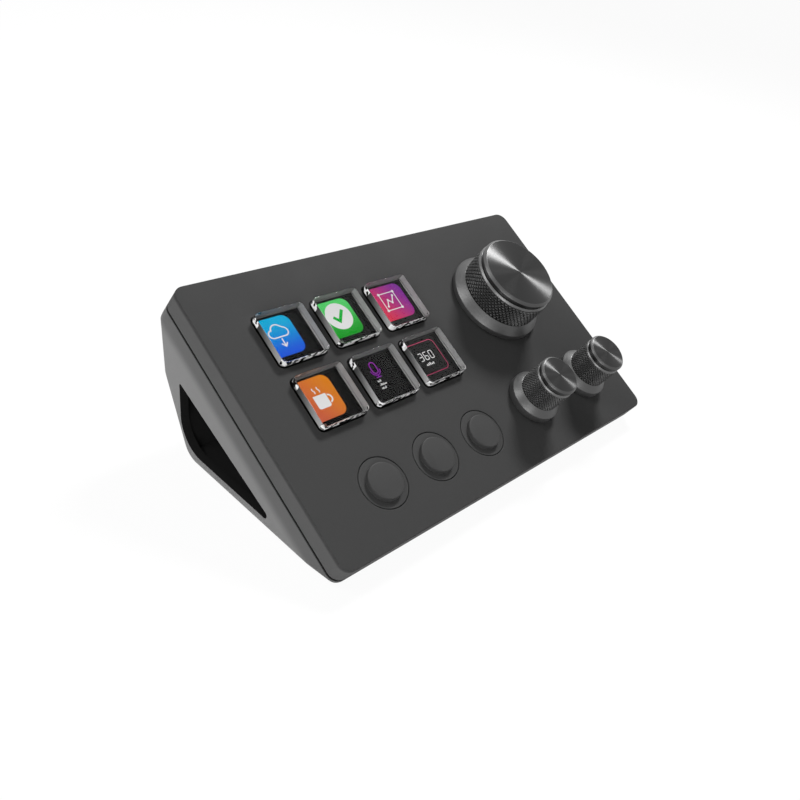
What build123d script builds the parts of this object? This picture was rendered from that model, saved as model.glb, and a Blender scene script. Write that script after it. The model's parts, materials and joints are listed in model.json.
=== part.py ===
from build123d import *

import os
from math import cos, radians, sin, sqrt, tan

# Macro keypad with six screen keys, three push buttons and three push-and-turn knobs.
#
# The deck is the sloping face that carries the controls. Depths are measured below it and
# heights above it, square to it. The part stands on its base pad, with X to the right, Y to
# the back and Z up, and the origin under the middle of the deck.

os.makedirs("parts", exist_ok=True)

# ---- driving dimensions: housing ---------------------------------------------------------
deck_width = 130.0
deck_length = 80.2
deck_tilt = 28.3
deck_middle_height = 26.1
deck_corner_radius = 3.2
deck_edge_break = 0.3
hole_edge_break = 0.15
cover_thickness = 1.6
cover_depth = 5.1
seam_gap = 0.6
flare_depth = 8.6
side_flare = 0.1
wall = 2.2
lip_thickness = 1.0
lip_rise = 0.8
lip_clearance = 0.15
lip_root = 0.4

# ---- driving dimensions: wedge under the deck --------------------------------------------
front_wall_depth = 6.3
back_wall_depth = 9.7
floor_front_setback = 12.0
floor_back_setback = 11.95
floor_back_radius = 7.0
back_knee_setback = 2.65
back_knee_height = 20.7
back_knee_radius = 5.0
floor_thickness = 3.2
side_edge_radius = 2.4
window_floor_rise = 3.55
window_front_inset = 11.1
window_slope = 23.5
window_back_overhang = 2.0
window_back_lean = 6.2
window_back_radius = 9.5
window_apex_radius = 0.5
window_tip_radius = 1.0
window_rim = 2.4

# ---- driving dimensions: base ------------------------------------------------------------
pad_proud = 0.4
pad_thickness = 1.0
pad_side_margin = 8.5
pad_end_margin = 2.5
pad_corner_radius = 3.0
pad_clearance = 0.1
base_plate_width = 117.0
base_plate_length = 37.0
base_plate_thickness = 2.0
base_plate_corner_radius = 2.0
base_plate_clearance = 0.15
base_ledge = 1.6
base_screw_head_height = 0.9
base_screw_recess = 0.1
base_screw_length = 4.0
base_screw_inset_x = 3.6
base_screw_inset_y = 4.4
base_boss_radius = 2.8
base_boss_height = 4.0

# ---- driving dimensions: screws ----------------------------------------------------------
screw_radius = 1.1
screw_hole_clearance = 0.15
screw_thread_clearance = 0.02
screw_tip_clearance = 0.2
screw_head_radius = 2.0
screw_head_height = 1.2
screw_head_clearance = 0.2
screw_drive_radius = 0.9
screw_drive_depth = 0.5

# ---- driving dimensions: electronics pocket ----------------------------------------------
pocket_depth = 10.4
pocket_floor_thickness = 2.0
board_top_depth = 8.2
board_thickness = 1.6
board_edge_clearance = 0.6
board_corner_radius = 2.0
board_screw_length = 3.2
board_screw_head_height = 0.8
board_screw_inset = 5.0
board_screw_clearance = 0.2
board_screw_encoder_setback = 5.3
board_post_radius = 2.4
case_screw_length = 7.0
case_screw_side_inset = 6.8
case_screw_front_setback = 6.43
case_screw_back_inset = 9.1
case_boss_radius = 2.9
case_boss_seat = 0.1
chip_side = 7.0
chip_height = 0.9
chip_clearance = 8.0
chip_back_inset = 16.1

# ---- driving dimensions: screen keys -----------------------------------------------------
key_pitch = 19.0
key_columns = 3
key_rows = 2
key_left_inset = 22.9
key_back_inset = 21.1
key_width = 15.2
key_length = 15.0
key_proud = 2.5
key_corner_radius = 1.2
key_top_radius = 0.45
key_gap = 0.4
key_travel = 0.5
key_press_clearance = 0.1
key_flange_reach = 1.0
key_flange_thickness = 0.4
key_flange_seat = 0.05
key_skirt_wall = 0.9
key_skirt_depth = 4.4
screen_side_clearance = 0.2
screen_thickness = 1.6
screen_corner_radius = 0.8
screen_bezel = 0.5
screen_glass_inset = 0.15
screen_post_inset = 0.2
carrier_thickness = 1.0
mat_post_clearance = 0.2
mat_thickness = 0.8
mat_edge = 1.5
ribbon_width = 12.0
ribbon_length = 4.6
ribbon_thickness = 0.3
ribbon_clearance = 0.1
ribbon_connector_length = 2.2
ribbon_connector_height = 1.0
ribbon_connector_wall = 0.5

# ---- driving dimensions: push buttons ----------------------------------------------------
button_front_inset = 14.8
button_left_inset = 23.0
button_pitch = 19.0
button_count = 3
button_hole_radius = 7.05
button_hole_clearance = 0.2
button_middle_radius = 5.0
button_middle_proud = 1.3
button_middle_edge_radius = 0.3
button_travel = 0.5
button_flange_reach = 0.9
button_flange_thickness = 0.9
button_flange_seat = 0.05
button_stem_radius = 2.0
button_stem_depth = 4.2
switch_side = 6.2
switch_height = 3.4
switch_plunger_radius = 1.7
switch_plunger_length = 1.4
switch_bore_clearance = 0.05
switch_floor_clearance = 0.1

# ---- driving dimensions: encoders --------------------------------------------------------
main_knob_right_inset = 31.65
main_knob_back_inset = 29.6
right_knob_right_inset = 18.95
left_knob_shift = 0.375
small_knob_front_inset = 17.1
knob_travel = 0.5
knob_lift = 0.6
encoder_width = 12.0
encoder_length = 11.0
encoder_top_clearance = 0.1
encoder_floor_clearance = 0.1
bushing_radius = 3.5
bushing_rise = 3.9
bushing_hole_clearance = 0.1
nut_across_flats = 10.0
nut_thickness = 1.7
nut_seat = 0.05
nut_thread_clearance = 0.02
shaft_radius = 3.0
shaft_running_clearance = 0.05
shaft_bottom_depth = 6.7
shaft_flat_cut = 1.0
shaft_flat_length = 5.8
shaft_end_clearance = 0.3
actuator_thickness = 0.6
actuator_running_clearance = 0.08

# ---- driving dimensions: knobs -----------------------------------------------------------
bush_bore_clearance = 0.01
bush_underside = 3.2
bush_pocket_clearance = 0.5
bush_wall_clearance = 0.02
recess_top = 2.6
main_skirt_radius = 15.1
main_skirt_edge = 2.1
main_skirt_top_radius = 12.9
main_recess_radius = 12.0
main_grip_radius = 12.8
main_grip_bottom = 4.4
main_grip_top = 12.3
main_grip_edge_break = 0.3
main_bore_radius = 10.8
main_spigot_bottom = 11.0
main_neck_radius = 11.9
main_cap_bottom = 13.0
main_cap_radius = 12.5
main_cap_top = 14.4
main_cap_chamfer = 0.5
small_skirt_radius = 8.0
small_skirt_edge = 2.7
small_skirt_top_radius = 6.25
small_recess_radius = 6.6
small_grip_radius = 6.2
small_grip_bottom = 4.5
small_grip_top = 12.2
small_grip_edge_break = 0.2
small_bore_radius = 5.0
small_spigot_bottom = 10.8
small_neck_radius = 5.6
small_cap_bottom = 12.8
small_cap_radius = 6.15
small_cap_top = 14.1
small_cap_chamfer = 0.45

# ---- driving dimensions: cable socket ----------------------------------------------------
socket_width = 9.0
socket_height = 3.2
socket_length = 7.4
socket_wall = 0.3
socket_floor = 0.9
socket_left_inset = 45.0
socket_middle_depth = 8.4
socket_setback = 0.5
socket_hole_clearance = 0.2
socket_board_clearance = 0.15
socket_tongue_width = 6.7
socket_tongue_thickness = 0.7
socket_tongue_setback = 0.6

# ---- the deck and the places measured from it --------------------------------------------
tilt = radians(deck_tilt)
deck = Plane(
    origin=(0, 0, deck_middle_height),
    x_dir=(1, 0, 0),
    z_dir=(0, -sin(tilt), cos(tilt)),
)
deck_axis = Axis(origin=deck.origin, direction=deck.z_dir)
half_width = deck_width / 2
half_length = deck_length / 2
full_half_width = half_width + side_flare * flare_depth
past_everything = deck_width + deck_length

base_height = pad_proud
cavity_floor = base_height + floor_thickness
housing_top_depth = cover_depth + seam_gap
lip_top_depth = cover_depth - lip_rise
pocket_inset = wall + lip_clearance + lip_thickness
pocket_half_width = half_width - pocket_inset
pocket_half_length = half_length - pocket_inset
pocket_underside = pocket_depth + pocket_floor_thickness
board_bottom_depth = board_top_depth + board_thickness


def deck_point(across, along, height):
    """Return the point this far across, up the slope and above the deck."""
    return deck.from_local_coords((across, along, height))


def side_point(along, height):
    """Return the (Y, Z) of a point up the slope and above the deck, seen from the side."""
    spot = deck_point(0, along, height)
    return (spot.Y, spot.Z)


def at_depth(depth):
    """Return the plane this far below the deck."""
    return deck.offset(-depth)


def width_at(depth):
    """Return the width of the housing this far below the deck."""
    return deck_width + 2 * side_flare * min(depth, flare_depth)


def along_at_level(depth, level):
    """Return how far up the slope a plane this deep reaches a height above the table."""
    return (level - deck_middle_height + depth * cos(tilt)) / sin(tilt)


front_edge_reach = side_point(-half_length, 0)[0]
back_edge_reach = side_point(half_length, -back_wall_depth)[0]
floor_front = front_edge_reach + floor_front_setback
back_knee_reach = back_edge_reach - back_knee_setback
floor_back = back_knee_reach - floor_back_setback
window_front = floor_front + window_front_inset
window_back = floor_back + window_back_overhang


def pocket_front_at(depth):
    """Return how far up the slope the pocket's slanting front wall stands at a depth."""
    foot = deck.to_local_coords(Vector(0, floor_front, base_height))
    slant = (foot.Y + half_length) / (-foot.Z - front_wall_depth)
    return -pocket_half_length + (depth - housing_top_depth) * slant


def nearest_corner(sketch, point):
    """Return the corner of an open sketch that lies nearest to a point."""
    return sketch.vertices().sort_by_distance(point)[0]


def meridian(across, along):
    """Return the plane of a control's axis, with x as the radius and y as the height."""
    return Plane(origin=deck_point(across, along, 0), x_dir=(1, 0, 0), z_dir=-deck.y_dir)


def screw_plane(origin, direction):
    """Return the plane that a screw head sits on, looking out along the head."""
    return Plane(origin=origin, x_dir=(1, 0, 0), z_dir=direction)


def save(piece, label):
    """Label a finished piece and write it as one STEP file."""
    piece.part.label = label
    export_step(piece.part, f"parts/{label}.step")


# ---- where the controls and the screws stand ---------------------------------------------
key_first_column = key_left_inset - half_width
key_upper_row = half_length - key_back_inset
key_spots = [
    (key_first_column + key_pitch * column, key_upper_row - key_pitch * row)
    for row in range(key_rows)
    for column in range(key_columns)
]
keypad_middle = (
    key_first_column + key_pitch * (key_columns - 1) / 2,
    key_upper_row - key_pitch * (key_rows - 1) / 2,
)
key_flange_width = key_width + 2 * key_flange_reach
key_flange_length = key_length + 2 * key_flange_reach
keypad_width = key_pitch * (key_columns - 1) + key_flange_width + 2 * mat_edge
keypad_length = key_pitch * (key_rows - 1) + key_flange_length + 2 * mat_edge
keypad_right = keypad_middle[0] + keypad_width / 2
keypad_front = keypad_middle[1] - keypad_length / 2

button_spots = [
    (button_left_inset - half_width + button_pitch * index, button_front_inset - half_length)
    for index in range(button_count)
]
small_knob_row = small_knob_front_inset - half_length
main_spot = (half_width - main_knob_right_inset, half_length - main_knob_back_inset)
right_spot = (half_width - right_knob_right_inset, small_knob_row)
left_spot = ((button_spots[-1][0] + right_spot[0]) / 2 - left_knob_shift, small_knob_row)
knob_spots = [main_spot, left_spot, right_spot]

case_screw_across = half_width - case_screw_side_inset
case_screw_front = along_at_level(pocket_underside, cavity_floor) + case_screw_front_setback
case_screw_spots = [
    (side * case_screw_across, along)
    for side in (-1, 1)
    for along in (case_screw_front, half_length - case_screw_back_inset)
]
board_half_width = case_screw_across - case_boss_radius - board_edge_clearance
board_front = pocket_front_at(board_bottom_depth) + board_edge_clearance
board_back = pocket_half_length - board_edge_clearance
board_middle = (board_front + board_back) / 2
board_screw_across = board_half_width - board_screw_inset
board_screw_back = board_back - board_screw_inset
board_screw_front_left = keypad_front - screw_head_radius - board_screw_clearance
board_screw_front_right = small_knob_row + encoder_length / 2 + board_screw_encoder_setback
board_screw_spots = [
    (-board_screw_across, board_screw_front_left),
    (-board_screw_across, board_screw_back),
    (board_screw_across, board_screw_front_right),
    (board_screw_across, board_screw_back),
]
socket_across = socket_left_inset - half_width
base_screw_across = base_plate_width / 2 - base_screw_inset_x
base_screw_along = base_plate_length / 2 - base_screw_inset_y
base_screw_spots = [
    (across * base_screw_across, along * base_screw_along)
    for across in (-1, 1)
    for along in (-1, 1)
]
base_screw_seat = base_height + base_screw_head_height + base_screw_recess


# ---- top cover ---------------------------------------------------------------------------
cover_room_width = deck_width - 2 * wall
cover_room_length = deck_length - 2 * wall
cover_room_radius = deck_corner_radius - wall
key_hole_width = key_width + 2 * key_gap
key_hole_length = key_length + 2 * key_gap
key_hole_radius = key_corner_radius + key_gap
case_boss_bottom = pocket_depth - case_boss_seat
case_screw_tip = pocket_underside - case_screw_length

with BuildPart() as top_cover:
    with BuildSketch(deck):
        RectangleRounded(deck_width, deck_length, deck_corner_radius)
    with BuildSketch(at_depth(cover_depth)):
        RectangleRounded(width_at(cover_depth), deck_length, deck_corner_radius)
    loft()
    fillet(top_cover.edges().group_by(deck_axis)[-1], deck_edge_break)
    with BuildSketch(at_depth(cover_depth)):
        RectangleRounded(cover_room_width, cover_room_length, cover_room_radius)
    extrude(amount=cover_depth - cover_thickness, mode=Mode.SUBTRACT)
    with BuildSketch(at_depth(case_boss_bottom)):
        with Locations(*case_screw_spots):
            Circle(case_boss_radius)
    extrude(amount=case_boss_bottom - cover_thickness)
    with BuildSketch(at_depth(case_boss_bottom)):
        with Locations(*case_screw_spots):
            Circle(screw_radius + screw_thread_clearance)
    extrude(amount=case_boss_bottom - case_screw_tip + screw_tip_clearance, mode=Mode.SUBTRACT)
    with BuildSketch(deck):
        with Locations(*key_spots):
            RectangleRounded(key_hole_width, key_hole_length, key_hole_radius)
        with Locations(*button_spots):
            Circle(button_hole_radius)
        with Locations(*knob_spots):
            Circle(bushing_radius + bushing_hole_clearance)
    extrude(amount=-cover_thickness, mode=Mode.SUBTRACT)
    chamfer(top_cover.faces().sort_by(deck_axis)[-1].inner_wires().edges(), hole_edge_break)
save(top_cover, "top_cover")


# ---- lower housing -----------------------------------------------------------------------
side_profile = [
    side_point(-half_length, 0),
    side_point(-half_length, -front_wall_depth),
    (floor_front, base_height),
    (floor_back, base_height),
    (back_knee_reach, back_knee_height),
    side_point(half_length, -back_wall_depth),
    side_point(half_length, 0),
]


def round_side_profile(sketch):
    """Round the two back corners of the wedge's outline in the open sketch."""
    fillet(nearest_corner(sketch, (floor_back, base_height)), floor_back_radius)
    fillet(nearest_corner(sketch, (back_knee_reach, back_knee_height)), back_knee_radius)


with BuildPart() as envelope:
    with BuildSketch(at_depth(housing_top_depth)):
        RectangleRounded(width_at(housing_top_depth), deck_length, deck_corner_radius)
    with BuildSketch(at_depth(flare_depth)):
        RectangleRounded(width_at(flare_depth), deck_length, deck_corner_radius)
    loft()
    with BuildSketch(at_depth(flare_depth)):
        RectangleRounded(width_at(flare_depth), deck_length, deck_corner_radius)
    extrude(amount=-deck_length)

lip_width = cover_room_width - 2 * lip_clearance
lip_length = cover_room_length - 2 * lip_clearance
lip_corner_radius = cover_room_radius - lip_clearance
base_opening_width = base_plate_width - 2 * base_ledge
base_opening_length = base_plate_length - 2 * base_ledge
base_boss_bottom = base_height + base_plate_thickness
base_screw_tip = base_screw_seat + base_screw_length
board_screw_tip = board_top_depth + board_screw_length
window_floor = base_height + window_floor_rise
window_pitch = tan(radians(window_slope))
window_lean = tan(radians(window_back_lean))
window_height = (
    window_pitch * (window_back - window_front) / (1 - window_pitch * window_lean)
)
window_apex = (window_back + window_lean * window_height, window_floor + window_height)

with BuildPart() as lower_housing:
    with BuildSketch(Plane.YZ) as outline:
        with BuildLine():
            Polyline(*side_profile, close=True)
        make_face()
        round_side_profile(outline)
    extrude(amount=full_half_width, both=True)
    side_edges = lower_housing.faces().filter_by(Axis.X).edges().sort_by(deck_axis)
    fillet(side_edges[:-2], side_edge_radius)
    add(envelope.part, mode=Mode.INTERSECT)
    with BuildSketch(at_depth(housing_top_depth + lip_root)):
        RectangleRounded(lip_width, lip_length, lip_corner_radius)
    extrude(amount=housing_top_depth + lip_root - lip_top_depth)
    with BuildSketch(Plane.YZ) as cavity:
        with BuildLine():
            Polyline(*side_profile, close=True)
        make_face()
        round_side_profile(cavity)
        offset(amount=-wall, kind=Kind.INTERSECTION)
        with BuildLine():
            Polyline(
                side_point(along_at_level(pocket_underside, cavity_floor), -pocket_underside),
                (past_everything, cavity_floor),
                side_point(past_everything, -pocket_underside),
                close=True,
            )
        make_face(mode=Mode.INTERSECT)
    extrude(amount=full_half_width - window_rim, both=True, mode=Mode.SUBTRACT)
    with BuildSketch(Plane.XY.offset(base_boss_bottom)):
        with Locations(*base_screw_spots):
            Circle(base_boss_radius)
    extrude(amount=base_boss_height)
    with BuildSketch(Plane.YZ):
        with BuildLine():
            Polyline(
                side_point(-pocket_half_length, 0),
                side_point(-pocket_half_length, -housing_top_depth),
                side_point(pocket_front_at(pocket_depth), -pocket_depth),
                side_point(pocket_half_length, -pocket_depth),
                side_point(pocket_half_length, 0),
                close=True,
            )
        make_face()
    extrude(amount=pocket_half_width, both=True, mode=Mode.SUBTRACT)
    with BuildSketch(Plane.YZ) as window:
        with BuildLine():
            Polyline(
                (window_front, window_floor),
                (window_back, window_floor),
                window_apex,
                close=True,
            )
        make_face()
        fillet(nearest_corner(window, (window_front, window_floor)), window_tip_radius)
        fillet(nearest_corner(window, (window_back, window_floor)), window_back_radius)
        fillet(nearest_corner(window, window_apex), window_apex_radius)
    extrude(amount=past_everything, both=True, mode=Mode.SUBTRACT)
    with BuildSketch(Plane.XY.offset(base_height)):
        RectangleRounded(
            base_plate_width + 2 * base_plate_clearance,
            base_plate_length + 2 * base_plate_clearance,
            base_plate_corner_radius + base_plate_clearance,
        )
    extrude(amount=base_plate_thickness, mode=Mode.SUBTRACT)
    with BuildSketch(Plane.XY.offset(base_boss_bottom)):
        RectangleRounded(base_opening_width, base_opening_length, base_plate_corner_radius)
        with Locations(*base_screw_spots):
            Circle(base_boss_radius, mode=Mode.SUBTRACT)
    extrude(amount=cavity_floor - base_boss_bottom, mode=Mode.SUBTRACT)
    with BuildSketch(Plane.XY.offset(base_boss_bottom)):
        with Locations(*base_screw_spots):
            Circle(screw_radius + screw_thread_clearance)
    extrude(amount=base_screw_tip + screw_tip_clearance - base_boss_bottom, mode=Mode.SUBTRACT)
    with BuildSketch(at_depth(pocket_depth)):
        with Locations(*board_screw_spots):
            Circle(board_post_radius)
    extrude(amount=pocket_depth - board_bottom_depth)
    with BuildSketch(at_depth(board_bottom_depth)):
        with Locations(*board_screw_spots):
            Circle(screw_radius + screw_thread_clearance)
    extrude(amount=board_bottom_depth - board_screw_tip - screw_tip_clearance, mode=Mode.SUBTRACT)
    with BuildSketch(at_depth(pocket_depth)):
        with Locations(*case_screw_spots):
            Circle(screw_radius + screw_hole_clearance)
    extrude(amount=-pocket_floor_thickness, mode=Mode.SUBTRACT)
    with BuildSketch(
        screw_plane(deck_point(socket_across, half_length, -socket_middle_depth), deck.y_dir)
    ):
        SlotOverall(
            socket_width + 2 * socket_hole_clearance,
            socket_height + 2 * socket_hole_clearance,
        )
    extrude(amount=pocket_inset, both=True, mode=Mode.SUBTRACT)
save(lower_housing, "lower_housing")


# ---- base plate and pad ------------------------------------------------------------------
pad_seat = base_height - pad_proud + pad_thickness
pad_width = base_plate_width - 2 * pad_side_margin
pad_length = base_plate_length - 2 * pad_end_margin

with BuildPart() as base_plate:
    with BuildSketch(Plane.XY.offset(base_height)):
        RectangleRounded(base_plate_width, base_plate_length, base_plate_corner_radius)
        with Locations(*base_screw_spots):
            Circle(screw_radius + screw_hole_clearance, mode=Mode.SUBTRACT)
    extrude(amount=base_plate_thickness)
    with BuildSketch(Plane.XY.offset(base_height)):
        RectangleRounded(
            pad_width + 2 * pad_clearance,
            pad_length + 2 * pad_clearance,
            pad_corner_radius + pad_clearance,
        )
    extrude(amount=pad_seat - base_height, mode=Mode.SUBTRACT)
    with BuildSketch(Plane.XY.offset(base_height)):
        with Locations(*base_screw_spots):
            Circle(screw_head_radius + screw_head_clearance)
    extrude(amount=base_screw_seat - base_height, mode=Mode.SUBTRACT)
save(base_plate, "base_plate")

with BuildPart() as base_pad:
    with BuildSketch(Plane.XY.offset(base_height - pad_proud)):
        RectangleRounded(pad_width, pad_length, pad_corner_radius)
    extrude(amount=pad_thickness)
save(base_pad, "base_pad")


# ---- screws ------------------------------------------------------------------------------
def save_screws(label, planes, shank_length, head_height):
    """Save a set of equal screws, each with its head on its plane and its shank behind it."""
    with BuildPart() as screws:
        for plane in planes:
            with BuildSketch(plane):
                Circle(screw_head_radius)
            extrude(amount=head_height)
            with BuildSketch(plane):
                Circle(screw_radius)
            extrude(amount=-shank_length)
            with BuildSketch(plane.offset(head_height)):
                RegularPolygon(screw_drive_radius, side_count=6)
            extrude(amount=-screw_drive_depth, mode=Mode.SUBTRACT)
    save(screws, label)


save_screws(
    "base_screws",
    [screw_plane((*spot, base_screw_seat), (0, 0, -1)) for spot in base_screw_spots],
    base_screw_length,
    base_screw_head_height,
)
save_screws(
    "case_screws",
    [screw_plane(deck_point(*spot, -pocket_underside), -deck.z_dir) for spot in case_screw_spots],
    case_screw_length,
    screw_head_height,
)
save_screws(
    "board_screws",
    [screw_plane(deck_point(*spot, -board_top_depth), deck.z_dir) for spot in board_screw_spots],
    board_screw_length,
    board_screw_head_height,
)


# ---- main board and what is soldered to it -----------------------------------------------
socket_mouth = half_length - socket_setback
socket_back = socket_mouth - socket_length
socket_notch_length = 2 * (board_back - socket_back + socket_board_clearance)

with BuildPart() as main_board:
    with BuildSketch(at_depth(board_bottom_depth)):
        with Locations((0, board_middle)):
            RectangleRounded(2 * board_half_width, board_back - board_front, board_corner_radius)
        with Locations(*board_screw_spots):
            Circle(screw_radius + screw_hole_clearance, mode=Mode.SUBTRACT)
        with Locations((socket_across, board_back)):
            Rectangle(
                socket_width + 2 * socket_board_clearance,
                socket_notch_length,
                mode=Mode.SUBTRACT,
            )
    extrude(amount=board_thickness)
save(main_board, "main_board")

with BuildPart() as controller_chip:
    with BuildSketch(at_depth(board_top_depth)):
        with Locations((keypad_right + chip_clearance, half_length - chip_back_inset)):
            Rectangle(chip_side, chip_side, align=(Align.MIN, Align.CENTER))
    extrude(amount=chip_height)
save(controller_chip, "controller_chip")

with BuildPart() as data_socket:
    with BuildSketch(
        screw_plane(deck_point(socket_across, socket_back, -socket_middle_depth), deck.y_dir)
    ):
        SlotOverall(socket_width, socket_height)
    extrude(amount=socket_length)
    with BuildSketch(
        screw_plane(
            deck_point(socket_across, socket_back + socket_floor, -socket_middle_depth),
            deck.y_dir,
        )
    ):
        SlotOverall(socket_width - 2 * socket_wall, socket_height - 2 * socket_wall)
        Rectangle(socket_tongue_width, socket_tongue_thickness, mode=Mode.SUBTRACT)
    extrude(amount=socket_length - socket_floor, mode=Mode.SUBTRACT)
    with BuildSketch(
        screw_plane(deck_point(socket_across, socket_mouth, -socket_middle_depth), deck.y_dir)
    ):
        Rectangle(socket_tongue_width, socket_tongue_thickness)
    extrude(amount=-socket_tongue_setback, mode=Mode.SUBTRACT)
save(data_socket, "data_socket")


# ---- screens under the keys --------------------------------------------------------------
key_flange_radius = key_corner_radius + key_flange_reach
key_flange_top = cover_thickness + key_flange_seat
key_block_bottom = key_flange_top + key_flange_thickness
key_room_width = key_flange_width - 2 * key_skirt_wall
key_room_length = key_flange_length - 2 * key_skirt_wall
key_room_radius = key_flange_radius - key_skirt_wall

screen_width = key_room_width - 2 * screen_side_clearance
screen_length = key_room_length - 2 * screen_side_clearance
screen_top_depth = key_block_bottom + key_travel + key_press_clearance
screen_bottom_depth = screen_top_depth + screen_thickness
post_width = screen_width - 2 * screen_post_inset
post_length = screen_length - 2 * screen_post_inset
carrier_top_depth = board_top_depth - carrier_thickness
mat_web_depth = carrier_top_depth - mat_thickness
mat_pad_depth = key_skirt_depth + key_travel + key_press_clearance

for number, spot in enumerate(key_spots, start=1):
    with BuildPart() as screen:
        with BuildSketch(at_depth(screen_bottom_depth)):
            with Locations(spot):
                RectangleRounded(screen_width, screen_length, screen_corner_radius)
        extrude(amount=screen_thickness)
        with BuildSketch(at_depth(screen_top_depth)):
            with Locations(spot):
                Rectangle(screen_width - 2 * screen_bezel, screen_length - 2 * screen_bezel)
        extrude(amount=-screen_glass_inset, mode=Mode.SUBTRACT)
    save(screen, f"screen_{number}")

with BuildPart() as screen_carrier:
    with BuildSketch(at_depth(board_top_depth)):
        with Locations(keypad_middle):
            RectangleRounded(keypad_width, keypad_length, mat_edge)
    extrude(amount=carrier_thickness)
    with BuildSketch(at_depth(carrier_top_depth)):
        with Locations(*key_spots):
            RectangleRounded(post_width, post_length, screen_corner_radius)
    extrude(amount=carrier_top_depth - screen_bottom_depth)
save(screen_carrier, "screen_carrier")

with BuildPart() as key_mat:
    with BuildSketch(at_depth(carrier_top_depth)):
        with Locations(keypad_middle):
            RectangleRounded(keypad_width, keypad_length, mat_edge)
    extrude(amount=mat_thickness)
    with BuildSketch(at_depth(mat_web_depth)):
        with Locations(*key_spots):
            RectangleRounded(key_flange_width, key_flange_length, key_flange_radius)
    extrude(amount=mat_web_depth - mat_pad_depth)
    with BuildSketch(at_depth(carrier_top_depth)):
        with Locations(*key_spots):
            RectangleRounded(
                post_width + 2 * mat_post_clearance,
                post_length + 2 * mat_post_clearance,
                screen_corner_radius + mat_post_clearance,
            )
    extrude(amount=carrier_top_depth - mat_pad_depth, mode=Mode.SUBTRACT)
save(key_mat, "key_mat")

ribbon_left = keypad_right + ribbon_clearance
connector_left = ribbon_left + ribbon_length - ribbon_connector_length
connector_width = ribbon_width + 2 * ribbon_connector_wall

with BuildPart() as screen_ribbon:
    with BuildSketch(at_depth(board_top_depth)):
        with Locations((ribbon_left, keypad_middle[1])):
            Rectangle(ribbon_length, ribbon_width, align=(Align.MIN, Align.CENTER))
    extrude(amount=ribbon_thickness)
save(screen_ribbon, "screen_ribbon")

with BuildPart() as ribbon_connector:
    with BuildSketch(at_depth(board_top_depth)):
        with Locations((connector_left, keypad_middle[1])):
            Rectangle(
                ribbon_connector_length + ribbon_connector_wall,
                connector_width,
                align=(Align.MIN, Align.CENTER),
            )
    extrude(amount=ribbon_connector_height)
    with BuildSketch(at_depth(board_top_depth)):
        with Locations((connector_left, keypad_middle[1])):
            Rectangle(
                ribbon_connector_length + ribbon_clearance,
                ribbon_width + 2 * ribbon_clearance,
                align=(Align.MIN, Align.CENTER),
            )
    extrude(amount=ribbon_thickness + ribbon_clearance, mode=Mode.SUBTRACT)
save(ribbon_connector, "ribbon_connector")


# ---- key caps ----------------------------------------------------------------------------
for number, spot in enumerate(key_spots, start=1):
    with BuildPart() as key_cap:
        with BuildSketch(at_depth(key_skirt_depth)):
            with Locations(spot):
                RectangleRounded(key_flange_width, key_flange_length, key_flange_radius)
                RectangleRounded(
                    key_room_width, key_room_length, key_room_radius, mode=Mode.SUBTRACT
                )
        extrude(amount=key_skirt_depth - key_block_bottom)
        with BuildSketch(at_depth(key_block_bottom)):
            with Locations(spot):
                RectangleRounded(key_flange_width, key_flange_length, key_flange_radius)
        extrude(amount=key_flange_thickness)
        with BuildSketch(at_depth(key_flange_top)):
            with Locations(spot):
                RectangleRounded(key_width, key_length, key_corner_radius)
        extrude(amount=key_flange_top + key_proud)
        fillet(key_cap.edges().group_by(deck_axis)[-1], key_top_radius)
    save(key_cap, f"key_cap_{number}")


# ---- push buttons ------------------------------------------------------------------------
button_disc_radius = button_hole_radius - button_hole_clearance
button_flange_radius = button_hole_radius + button_flange_reach
button_flange_top = cover_thickness + button_flange_seat
button_flange_bottom = button_flange_top + button_flange_thickness
switch_top_depth = board_top_depth - switch_height
plunger_bottom_depth = button_stem_depth + switch_plunger_length
switch_bore_depth = plunger_bottom_depth + button_travel + switch_floor_clearance

for number, spot in enumerate(button_spots, start=1):
    with BuildPart() as button_cap:
        with BuildSketch(at_depth(button_flange_bottom)):
            with Locations(spot):
                Circle(button_flange_radius)
        extrude(amount=button_flange_thickness)
        with BuildSketch(at_depth(button_flange_top)):
            with Locations(spot):
                Circle(button_disc_radius)
        extrude(amount=button_flange_top)
        chamfer(button_cap.edges().group_by(deck_axis)[-1], hole_edge_break)
        with BuildSketch(deck):
            with Locations(spot):
                Circle(button_middle_radius)
        extrude(amount=button_middle_proud)
        fillet(button_cap.edges().group_by(deck_axis)[-1], button_middle_edge_radius)
        with BuildSketch(at_depth(button_flange_bottom)):
            with Locations(spot):
                Circle(button_stem_radius)
        extrude(amount=button_flange_bottom - button_stem_depth)
    save(button_cap, f"button_cap_{number}")

    with BuildPart() as button_plunger:
        with BuildSketch(at_depth(plunger_bottom_depth)):
            with Locations(spot):
                Circle(switch_plunger_radius)
        extrude(amount=switch_plunger_length)
    save(button_plunger, f"button_plunger_{number}")

with BuildPart() as button_switches:
    with BuildSketch(at_depth(board_top_depth)):
        with Locations(*button_spots):
            Rectangle(switch_side, switch_side)
    extrude(amount=switch_height)
    with BuildSketch(at_depth(switch_top_depth)):
        with Locations(*button_spots):
            Circle(switch_plunger_radius + switch_bore_clearance)
    extrude(amount=switch_top_depth - switch_bore_depth, mode=Mode.SUBTRACT)
save(button_switches, "button_switches")


# ---- encoders ----------------------------------------------------------------------------
encoder_top_depth = cover_thickness + encoder_top_clearance
encoder_bore_radius = shaft_radius + shaft_running_clearance
actuator_bottom_depth = shaft_bottom_depth + actuator_thickness
encoder_bore_depth = actuator_bottom_depth + knob_travel + encoder_floor_clearance
flat_reach = shaft_radius - shaft_flat_cut

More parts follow.
